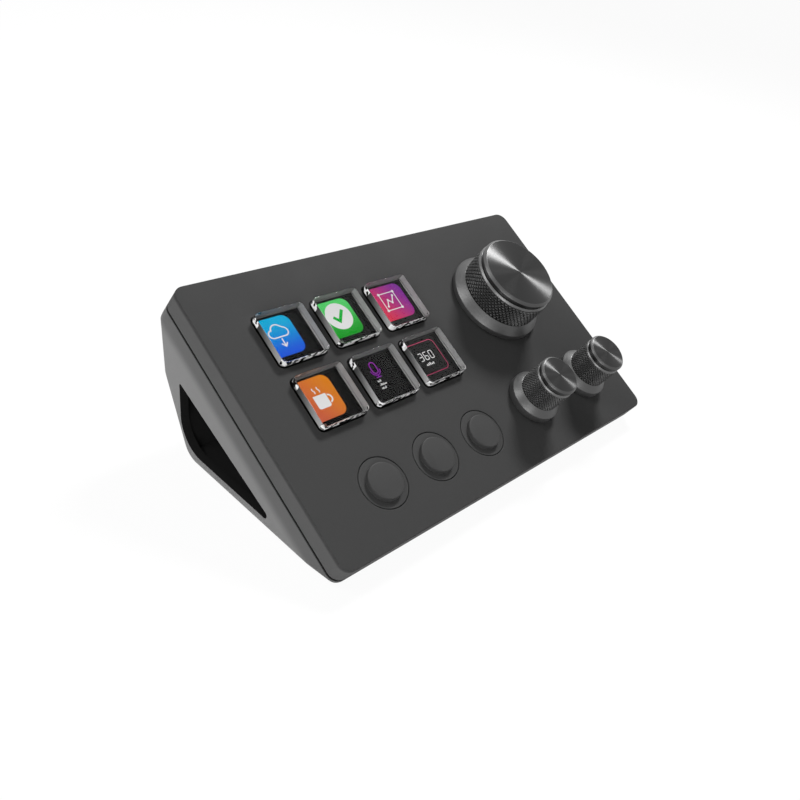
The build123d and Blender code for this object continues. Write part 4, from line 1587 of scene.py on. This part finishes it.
    def _chart(self) -> None:
        """Draw a framed line chart."""
        pen = self._drawing()
        corners = [(-2.8, -2.8), (2.8, -2.8), (2.8, 2.8), (-2.8, 2.8)]
        climb = [(-1.8, -1.5), (-0.7, 0.5), (0.4, -0.6), (1.8, 1.6)]
        pen.stroke(corners, 0.26, closed=True)
        pen.stroke(climb, 0.34)
        for spots, radius in ((climb, 0.36), (corners, 0.42)):
            for spot in spots:
                pen.disc(spot, radius, 16)
        pen.finish("sign_3", self.white, self.sign_lift)

    def _mug(self) -> None:
        """Draw a mug with two wisps of steam."""
        pen = self._drawing()
        rim = [(1.8, 1.1), (-2.2, 1.1)]
        pen.plate(arc((1.1, -2.0), 0.7, -90, 0) + rim + arc((-1.5, -2.0), 0.7, 180, 270))
        pen.stroke(arc((1.9, -0.6), 1.1, 82, -82), 0.42)
        for across in (-1.0, 0.5):
            wave = [(across + 0.22 * sin(step * pi / 4), 1.7 + step * 0.2) for step in range(9)]
            pen.stroke(wave, 0.3)
        pen.finish("sign_4", self.white, self.sign_lift)

    def _microphone(self) -> None:
        """Draw an outlined microphone over rows of level bars."""
        pen, line = self._drawing(), 0.2
        pen.stroke(arc((0.0, 1.3), 0.95, 180, 0) + arc((0.0, -0.2), 0.95, 0, -180), line, closed=True)
        pen.stroke(arc((0.0, -0.1), 1.6, 180, 360), line)
        pen.stroke([(0.0, -1.75), (0.0, -2.2)], line)
        pen.stroke([(-0.9, -2.3), (0.9, -2.3)], line)
        pen.finish("sign_5", self.violet, self.sign_lift)
        bars = self._drawing()
        rows = {-3.7: (5, 3, 6), -4.8: (2, 6, 4, 5, 3, 4), -5.9: (4, 5, 2, 6)}
        for along, heights in rows.items():
            for index, height in enumerate(heights):
                bars.bar((-1.3 + 0.42 * index, along), 0.26, 0.11 * height)
        bars.finish("sign_5_levels", self.white, self.sign_lift)

    def _number(self) -> None:
        """Draw an outline that is open on the left round a number and a row of bars."""
        outline = self._drawing()
        corners = arc((4.0, 3.4), 1.6, 90, 0) + arc((4.0, -3.3), 1.6, 0, -90)
        outline.stroke([(-6.6, 5.0), *corners, (-6.6, -4.9)], 0.18)
        outline.finish("sign_6", self.rose, self.sign_lift)
        pen = self._drawing()
        for index, lit in enumerate(("abcdg", "acdefg", "abcdef")):
            pen.digit(lit, (-2.7 + 2.05 * index, -0.6), 1.25, 2.4, 0.24)
        for index in range(5):
            pen.bar((-1.7 + 0.62 * index, -2.4), 0.38, 0.5 + 0.2 * (index % 3))
        pen.finish("sign_6_number", self.white, self.sign_lift)


# ---- push buttons ------------------------------------------------------------------------
@dataclass
class PushButton:
    """One round push button in its hole.

    Attributes:
        number: The button's number, from 1.
        finish: Finish of the cap.
        plunger: Finish of the plunger under it.
    """

    number: int
    finish: Finish = MouldedPlastic("satin_button", grey(56), roughness=0.46, shine=0.08, wear_and_highlight=0.5)
    plunger: Finish = MouldedPlastic("red_plunger", from_screen(142, 28, 22), roughness=0.45)

    def build(self) -> None:
        """Make the cap's skin and dress the plunger."""
        skin(f"button_cap_{self.number}", f"button_{self.number}", self.finish, "button_plastic")
        dress([f"button_plunger_{self.number}"], self.plunger)


# ---- knobs -------------------------------------------------------------------------------
class KnurlTree:
    """A Geometry Nodes tree that covers a sleeve with staggered four-sided points.

    Attributes:
        name: The tree's name.
        inputs: Each input's kind and value, with lengths in metres.
        tip: Width of a point's flat tip, against its foot.
    """

    name = "knurl"
    inputs = {
        "Geometry": ("NodeSocketGeometry", None),
        "Radius": ("NodeSocketFloat", 0.0124),
        "Bottom": ("NodeSocketFloat", 0.0044),
        "Height": ("NodeSocketFloat", 0.0073),
        "Point depth": ("NodeSocketFloat", 0.0004),
        "Columns": ("NodeSocketInt", 80),
        "Rows": ("NodeSocketInt", 15),
        "Finish": ("NodeSocketMaterial", None),
        "Tips": ("NodeSocketMaterial", None),
    }
    tip = 0.4

    @classmethod
    def tree(cls) -> bpy.types.NodeTree:
        """Make the tree, unless it is there.

        Returns:
            The tree, which all knobs share.
        """
        made = bpy.data.node_groups.get(cls.name)
        if made:
            return made
        tree = bpy.data.node_groups.new(cls.name, "GeometryNodeTree")
        tree.is_modifier = True
        for label, (kind, preset) in cls.inputs.items():
            socket = tree.interface.new_socket(name=label, in_out="INPUT", socket_type=kind)
            if preset is not None:
                socket.default_value = preset
        tree.interface.new_socket(name="Geometry", in_out="OUTPUT", socket_type="NodeSocketGeometry")
        cls._wire(Wiring(tree))
        return tree

    @classmethod
    def _wire(cls, wiring: Wiring) -> None:
        """Place rings of spots up the sleeve, and a point on each spot.

        Args:
            wiring: The tree's wiring.
        """
        given = wiring.add("NodeGroupInput").outputs
        pitch = wiring.math("DIVIDE", given["Height"], given["Rows"])
        turn = wiring.math("DIVIDE", 2 * pi, given["Columns"])
        spots = cls._spots(wiring, given, pitch, turn)
        place = wiring.add("GeometryNodeInputPosition").outputs[0]
        axes = {0: wiring.times(place, (1.0, 1.0, 0.0)), 1: (0.0, 0.0, 1.0)}
        facing = wiring.add("FunctionNodeAxesToRotation", axes, primary_axis="Z", secondary_axis="X")
        across = wiring.math("MULTIPLY", wiring.math("MULTIPLY", turn, given["Radius"]), 0.5)
        size = wiring.add("ShaderNodeCombineXYZ", {"X": pitch, "Y": across, "Z": 1.0}).outputs[0]
        point = {"Geometry": cls._point(wiring, given), "Scale": size}
        shaped = wiring.add("GeometryNodeTransform", point).outputs[0]
        copies = {"Points": spots, "Instance": shaped, "Rotation": facing.outputs[0]}
        points = wiring.add("GeometryNodeInstanceOnPoints", copies).outputs[0]
        realised = wiring.add("GeometryNodeRealizeInstances", {0: points}).outputs[0]
        wiring.add("NodeGroupOutput", {"Geometry": realised})

    @classmethod
    def _spots(cls, wiring: Wiring, given: dict[str, Socket], pitch: Socket, turn: Socket) -> Socket:
        """Stack rings of spots, every other one turned by half a step.

        Args:
            wiring: The tree's wiring.
            given: The tree's input sockets by name.
            pitch: Height from ring to ring.
            turn: Angle from spot to spot.

        Returns:
            The spots.
        """
        circle = {"Vertices": given["Columns"], "Radius": given["Radius"]}
        ring = wiring.add("GeometryNodeMeshCircle", circle).outputs[0]
        first = wiring.math("MULTIPLY_ADD", pitch, 0.5, given["Bottom"])
        start, step = (wiring.add("ShaderNodeCombineXYZ", {"Z": z}).outputs[0] for z in (first, pitch))
        stack = {"Count": given["Rows"], "Start Location": start, "Offset": step}
        column = wiring.add("GeometryNodeMeshLine", stack).outputs[0]
        odd = wiring.math("MODULO", wiring.add("GeometryNodeInputIndex").outputs[0], 2.0)
        shift = wiring.math("MULTIPLY", wiring.math("MULTIPLY", odd, turn), 0.5)
        spin = wiring.add("ShaderNodeCombineXYZ", {"Z": shift}).outputs[0]
        copies = {"Points": column, "Instance": ring, "Rotation": spin}
        rings = wiring.add("GeometryNodeInstanceOnPoints", copies).outputs[0]
        return wiring.add("GeometryNodeRealizeInstances", {0: rings}).outputs[0]

    @classmethod
    def _point(cls, wiring: Wiring, given: dict[str, Socket]) -> Socket:
        """Make one four-sided point, whose flat tip has a finish of its own, paler as wear and a painted
        highlight.

        Args:
            wiring: The tree's wiring.
            given: The tree's input sockets by name.

        Returns:
            The point, with a foot of radius 1.
        """
        sizes = {"Vertices": 4, "Radius Top": cls.tip, "Radius Bottom": 1.0, "Depth": given["Point depth"]}
        cone = wiring.add("GeometryNodeMeshCone", sizes, fill_type="NGON").outputs[0]
        coat = {"Geometry": cone, "Material": given["Finish"]}
        flanks = wiring.add("GeometryNodeSetMaterial", coat).outputs[0]
        normal = wiring.add("GeometryNodeInputNormal").outputs[0]
        up = wiring.add("ShaderNodeSeparateXYZ", {0: normal}).outputs["Z"]
        on_top = wiring.add("FunctionNodeCompare", {0: up, 1: LEVEL}, operation="GREATER_THAN").outputs[0]
        # The flat tips take the paler finish: wear and a painted highlight.
        coat = {"Geometry": flanks, "Selection": on_top, "Material": given["Tips"]}
        return wiring.add("GeometryNodeSetMaterial", coat).outputs[0]


@dataclass
class Knob:
    """One knob: a coned skirt, a knurled sleeve and a spun cap over a shadow groove.

    Attributes:
        name: main, left or right.
        deck: The deck's frame.
        skirt_edge: Height of the skirt's upright edge above the deck, in millimetres.
        skirt_top: Radius where the cone meets the sleeve.
        knurl_pitch: Distance between the sleeve's points.
        knurl_depth: Height of its points.
        plain_ring: Height of the smooth ring at the sleeve's top.
        neck: Radius of the shadow groove.
        bevel: Width of the cap's bright bevel.
        groove: Height of the shadow groove.
        segments: Faces round the axis.
        edge_break: Rounding of the turned edges.
        nut_room: Width and height of the skirt's room for the nut.
        neck_foot: How far the cap's neck reaches into the sleeve.
        ring_slope: Share of the ring's height that slopes.
        slope_run: How far the slope runs inwards, against its height.
        sunk: How far the points' feet lie in the sleeve.
        hair: How far below the ring's edge a face still belongs to it.
        bevel_faces: The tilt between which a face of the cap is its bevel.
        skirt_finish: Finish of the skirt's cone.
        painted_light_side: Finish of its upright edge, a paler, rougher copy of the skirt's metal as painted
            light.
        sleeve_finish: Finish of the sleeve.
        tip_wear_and_highlight: Finish of the knurl's flat tips, paler as wear and a painted highlight.
        ring_finish: Finish of the smooth ring.
        bevel_finish: Finish of the cap's bevel.
        cap_finish: Finish of the cap.
    """

    name: str
    deck: Deck
    skirt_edge: float
    skirt_top: float
    knurl_pitch: float
    knurl_depth: float
    plain_ring: float
    neck: float
    bevel: float
    groove: float = 0.45
    segments: int = 160
    edge_break: float = 0.12
    nut_room: Point = (0.8, 2.0)
    neck_foot: float = 0.2
    ring_slope: float = 0.55
    slope_run: float = 0.7
    sunk: float = 0.03
    hair: float = 0.01
    bevel_faces: Point = (0.2, 0.95)
    skirt_finish: Finish = TurnedMetal("turned_skirt", grey(86), roughness=0.42, stretch=0.3)
    painted_light_side: Finish = TurnedMetal("skirt_side", grey(94), roughness=0.55, stretch=0.0)
    sleeve_finish: Finish = KnurledMetal("knurled_sleeve", grey(18), wear_and_highlight=0.2)
    tip_wear_and_highlight: Finish = KnurledMetal("knurl_tips", grey(64), roughness=0.5)
    ring_finish: Finish = TurnedMetal("turned_ring", grey(100), roughness=0.42, stretch=0.4)
    bevel_finish: Finish = TurnedMetal("turned_bevel", grey(80), roughness=0.42, stretch=0.4)
    cap_finish: Finish = TurnedMetal("spun_cap", grey(60), roughness=0.36, stretch=1.0, pitch=0.05)

    def build(self) -> None:
        """Make the three turned pieces and the knurl, and dress what is under them."""
        self._skirt()
        self._sleeve()
        self._cap()
        dress([f"{self.name}_knob_bush"], MouldedPlastic("nylon_bush", grey(26)))
        dress([f"{self.name}_shaft"], DrawnSteel("drawn_shaft", grey(196), roughness=0.25))
        dress([f"{self.name}_actuator"], MouldedPlastic("ivory_actuator", grey(190, 6)))

    @property
    def place(self) -> Matrix:
        """Return the frame of the knob's axis, which starts on the deck."""
        spot = self.deck.spot_of(f"{self.name}_knob_turn")
        return self.deck.at(spot.x, spot.y, 0.0)

    def _span(self, part: str) -> Place:
        """Return a node's outer radius, lowest and highest height, in millimetres."""
        low, high = self.deck.bounds(f"{self.name}_knob_{part}")
        return (high.x - low.x) / 2 / MM, low.z / MM, high.z / MM

    def _turn(
        self,
        part: str,
        node: str,
        outline: list[Point],
        finishes: tuple[Finish, Finish],
        takes_second: Callable[[bpy.types.MeshPolygon], bool],
    ) -> None:
        """Turn one piece and let it stand for its node.

        Args:
            part: The end of the piece's name.
            node: The end of the node's name.
            outline: The outline, with sharp corners.
            finishes: The piece's two finishes.
            takes_second: Tells whether a face has the second finish.
        """
        name = f"{self.name}_{part}"
        mesh = turned_mesh(name, softened(outline, self.edge_break), self.place, self.segments)
        for finish in finishes:
            mesh.materials.append(finish.material())
        for polygon in mesh.polygons:
            polygon.material_index = int(takes_second(polygon))
        slot = {"skirt": "knob_turned", "sleeve": "knob_knurled", "cap": "knob_spun"}[part]
        new_piece(name, mesh, f"{self.name}_knob", slot, f"{self.name}_knob_{node}")

    def _skirt(self) -> None:
        """Make the skirt, hollow where the nut stands."""
        radius, bottom, top = self._span("skirt")
        bore = self._span("bush")[0]
        hollow, ceiling = bore + self.nut_room[0], bottom + self.nut_room[1]
        outline = [(hollow, bottom), (radius, bottom), (radius, self.skirt_edge)]
        outline += [(self.skirt_top, top), (bore, top), (bore, ceiling), (hollow, ceiling)]
        finishes = (self.skirt_finish, self.painted_light_side)
        up = self.deck.normal
        # The upright edge gets the paler copy: painted light.
        self._turn("skirt", "skirt", outline, finishes, lambda face: abs(face.normal.dot(up)) < UPRIGHT)

    def _cap(self) -> None:
        """Make the cap: a disc with a bevel on a narrower neck."""
        radius, _, top = self._span("cap")
        _, _, sleeve_top = self._span("grip")
        disc_bottom = sleeve_top + self.groove
        outline = [
            (0.0, sleeve_top - self.neck_foot),
            (self.neck, sleeve_top - self.neck_foot),
            (self.neck, disc_bottom),
            (radius, disc_bottom),
            (radius, top - self.bevel),
            (radius - self.bevel, top),
            (0.0, top),
        ]
        finishes = (self.cap_finish, self.bevel_finish)
        low, high = self.bevel_faces
        up = self.deck.normal
        self._turn("cap", "cap", outline, finishes, lambda face: low < face.normal.dot(up) < high)

    def _sleeve(self) -> None:
        """Make the sleeve: a core, a smooth ring and the knurl between them."""
        radius, bottom, top = self._span("grip")
        bore = self._span("bush")[0]
        core = radius - self.knurl_depth
        ring_bottom = top - self.plain_ring
        slope = self.plain_ring * self.ring_slope
        outline = [(bore, bottom), (core, bottom), (core, ring_bottom), (radius, ring_bottom)]
        outline += [(radius, top - slope), (radius - slope * self.slope_run, top), (bore, top)]
        back = self.place.inverted()
        edge = (ring_bottom - self.hair) * MM
        finishes = (self.sleeve_finish, self.ring_finish)
        self._turn("sleeve", "grip", outline, finishes, lambda face: (back @ face.center).z > edge)
        self._knurl(core, bottom, ring_bottom)

    def _knurl(self, core: float, bottom: float, top: float) -> None:
        """Cover the sleeve's core with points by Geometry Nodes.

        Args:
            core: The core's radius.
            bottom: Height where the knurl starts.
            top: Height where it ends.
        """
        carrier = add_object("knurl_carrier", bpy.data.meshes.new("knurl_carrier"))
        modifier = carrier.modifiers.new("knurl", "NODES")
        modifier.node_group = KnurlTree.tree()
        wanted = {
            "Radius": (core + self.knurl_depth / 2 - self.sunk) * MM,
            "Bottom": bottom * MM,
            "Height": (top - bottom) * MM,
            "Point depth": self.knurl_depth * MM,
            "Columns": round(2 * pi * core / self.knurl_pitch / 2) * 2,
            "Rows": round((top - bottom) / self.knurl_pitch * 2) - 1,
            "Finish": self.sleeve_finish.material(),
            "Tips": self.tip_wear_and_highlight.material(),
        }
        for item in modifier.node_group.interface.items_tree:
            if item.in_out == "INPUT" and item.name in wanted:
                modifier[item.identifier] = wanted[item.name]
        bpy.context.view_layer.update()
        seen = carrier.evaluated_get(bpy.context.evaluated_depsgraph_get())
        mesh = bpy.data.meshes.new_from_object(seen)
        mesh.name = f"{self.name}_knurl"
        mesh.transform(self.place)
        bpy.data.objects.remove(carrier)
        new_piece(f"{self.name}_knurl", mesh, f"{self.name}_knob", "knob_knurled")


# ---- what is inside ----------------------------------------------------------------------
@dataclass
class Electronics:
    """The board and everything on it, which stay as the solids give them.

    Attributes:
        finishes: Each finish with the nodes that it is for.
    """

    finishes: tuple[tuple[Finish, tuple[str, ...]], ...] = (
        (SolderMask("solder_mask"), ("main_board",)),
        (MouldedPlastic("chip_resin", grey(22), roughness=0.6), ("controller_chip",)),
        (MouldedPlastic("amber_film", from_screen(176, 104, 36)), ("screen_ribbon",)),
        (MouldedPlastic("ivory_block", grey(205, 8)), ("ribbon_connector",)),
        (DrawnSteel("plated_socket", grey(192), roughness=0.25), ("data_socket",)),
        (MouldedPlastic("black_carrier", grey(18)), ("screen_carrier",)),
        (MouldedPlastic("grey_silicone", grey(46), roughness=0.7), ("key_mat",)),
        (MouldedPlastic("switch_black", grey(14)), ("button_switches",)),
        (
            DrawnSteel("zinc_encoder", grey(160), roughness=0.35),
            ("main_encoder", "left_encoder", "right_encoder"),
        ),
        (DrawnSteel("nickel_nut", grey(178), roughness=0.28), ("encoder_nuts",)),
    )

    def build(self) -> None:
        """Dress each node by what it is made of."""
        for finish, nodes in self.finishes:
            dress(nodes, finish)


# ---- the studio --------------------------------------------------------------------------
@dataclass(frozen=True)
class Softbox:
    """One area lamp.

    Attributes:
        name: The lamp's name.
        direction: The direction from the object to the lamp.
        distance: How far away it is, in metres.
        size: Its short and its long side in metres.
        power: Its power in watts.
        along: Roughly the direction of its long side.
    """

    name: str
    direction: Place
    distance: float
    size: Point
    power: float
    along: Place = (0.0, 0.0, 1.0)

    def build(self, target: Vector) -> None:
        """Hang the lamp and turn it to the object.

        Args:
            target: The point that it shines at.
        """
        light = bpy.data.lights.new(self.name, "AREA")
        light.shape = "RECTANGLE"
        light.size, light.size_y = self.size
        light.energy = self.power
        lamp = add_object(self.name, light)
        way = Vector(self.direction).normalized()
        across = Vector(self.along).cross(way).normalized()
        lamp.location = target + way * self.distance
        lamp.rotation_euler = Matrix((across, way.cross(across), way)).transposed().to_euler()


@dataclass
class Studio:
    """The floor, the light and the camera.

    Attributes:
        target: Middle of the object, which the lamps point at.
        floor_radius: Radius of the pale floor in metres.
        floor_sides: How many sides its edge has.
        floor_shade: How pale it is.
        ambient: Brightness of the room on matt surfaces.
        backdrop: Brightness of the white background.
        floor_glow: Share of the floor's look that no shadow darkens.
        camera_place: Where the camera stands, in metres.
        camera_target: The point in the middle of its view.
        camera_roll: How far it is rolled to the right, in degrees.
        lens: Focal length in millimetres.
        sensor: Width of the sensor in millimetres.
        nearest: How near the camera sees, in metres.
        softboxes: The lamps.
    """

    target: Vector = field(default_factory=lambda: Vector((0.0, 0.0, 0.025)))
    floor_radius: float = 4.0
    floor_sides: int = 96
    floor_shade: float = 0.9
    ambient: float = 0.2
    backdrop: float = 1.0
    floor_glow: float = 0.95
    camera_place: Place = (-0.16377, -0.11895, 0.13726)
    camera_target: Place = (-0.0227, -0.0068, 0.02244)
    camera_roll: float = -11.314
    lens: float = 36.73
    sensor: float = 36.0
    nearest: float = 0.01
    softboxes: tuple[Softbox, ...] = (
        Softbox("key_right", (0.586, 0.227, 0.778), 0.76, (0.15, 0.19), 7.6, (-0.574, 0.721, 0.388)),
        Softbox("fill_left", (-0.78, -0.62, 0.05), 0.45, (0.3, 0.3), 1.6),
        Softbox("back_left", (-0.6, 0.35, 0.72), 0.7, (0.3, 0.3), 1.9),
    )

    def build(self) -> None:
        """Set up everything round the object."""
        self._floor()
        self._room()
        for softbox in self.softboxes:
            softbox.build(self.target)
        self._camera()
        bpy.context.scene.view_settings.view_transform = "Standard"

    def _lit_for_view(self, wiring: Wiring) -> Socket:
        """Tell what is seen as background from what only lights the object.

        Args:
            wiring: The wiring of the floor or the room.

        Returns:
            1 for what the camera, gloss and glass see, else 0.
        """
        path = wiring.add("ShaderNodeLightPath").outputs
        seen = wiring.math("MAXIMUM", path["Is Camera Ray"], path["Is Glossy Ray"])
        return wiring.math("MAXIMUM", seen, path["Is Transmission Ray"])

    def _room(self) -> None:
        """Light the room evenly, and show it as white."""
        world = bpy.data.worlds.new("room")
        wiring = Wiring.of(world)
        level = wiring.remap(self._lit_for_view(wiring), 0.0, 1.0, self.ambient, self.backdrop)
        light = wiring.add("ShaderNodeBackground", {"Color": WHITE, "Strength": level})
        wiring.add("ShaderNodeOutputWorld", {"Surface": light.outputs[0]})
        bpy.context.scene.world = world

    def _floor(self) -> None:
        """Lay a pale floor that keeps the object's shadow."""
        bm = bmesh.new()
        bmesh.ops.create_circle(bm, cap_ends=True, radius=self.floor_radius, segments=self.floor_sides)
        floor = add_object("floor", finish_mesh(bm, "floor", PLATE_EDGE))
        material = bpy.data.materials.new("pale_floor")
        wiring = Wiring.of(material)
        matt = wiring.add("ShaderNodeBsdfDiffuse", {"Color": scaled(WHITE, self.floor_shade)})
        bright = wiring.add("ShaderNodeEmission", {"Color": WHITE, "Strength": self.backdrop})
        share = wiring.math("MULTIPLY", self._lit_for_view(wiring), self.floor_glow)
        mixed = wiring.add("ShaderNodeMixShader", {0: share, 1: matt.outputs[0], 2: bright.outputs[0]})
        wiring.add("ShaderNodeOutputMaterial", {"Surface": mixed.outputs[0]})
        floor.data.materials.append(material)
        floor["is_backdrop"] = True

    def _camera(self) -> None:
        """Place the camera."""
        data = bpy.data.cameras.new("camera")
        data.sensor_width = self.sensor
        data.lens = self.lens
        data.clip_start = self.nearest
        camera = add_object("camera", data)
        camera.location = self.camera_place
        way = Vector(self.camera_target) - Vector(self.camera_place)
        level = way.to_track_quat("-Z", "Y")
        camera.rotation_mode = "QUATERNION"
        camera.rotation_quaternion = level @ Quaternion((0, 0, 1), radians(-self.camera_roll))
        bpy.context.scene.camera = camera


# ---- everything in order -----------------------------------------------------------------
def write_sizes() -> None:
    """Gather the solids' box and the dressed part's box, as plain lists."""
    low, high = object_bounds()
    boxes = {"cad": [list(cad_low), list(cad_high)], "visual": [list(low), list(high)]}


def main() -> None:
    """Build every sub-assembly and the studio round them."""
    logging.basicConfig(level=logging.INFO, format="%(name)s: %(message)s")
    deck = Deck.from_joint("main_knob_turn")
    Housing(deck).build()
    for number, motif in enumerate(Motif, start=1):
        ScreenKey(number, motif, deck).build()
    for number in range(1, 4):
        PushButton(number).build()
    Knob(
        "main", deck, skirt_edge=2.1, skirt_top=12.9, knurl_pitch=1.3, knurl_depth=0.42,
        plain_ring=1.1, neck=11.9, bevel=0.7,
    ).build()
    for name in ("left", "right"):
        Knob(
            name, deck, skirt_edge=2.7, skirt_top=6.25, knurl_pitch=0.85, knurl_depth=0.26,
            plain_ring=0.8, neck=5.6, bevel=0.5,
        ).build()
    Electronics().build()
    Studio().build()
    write_sizes()


if __name__ == "__main__":
    main()
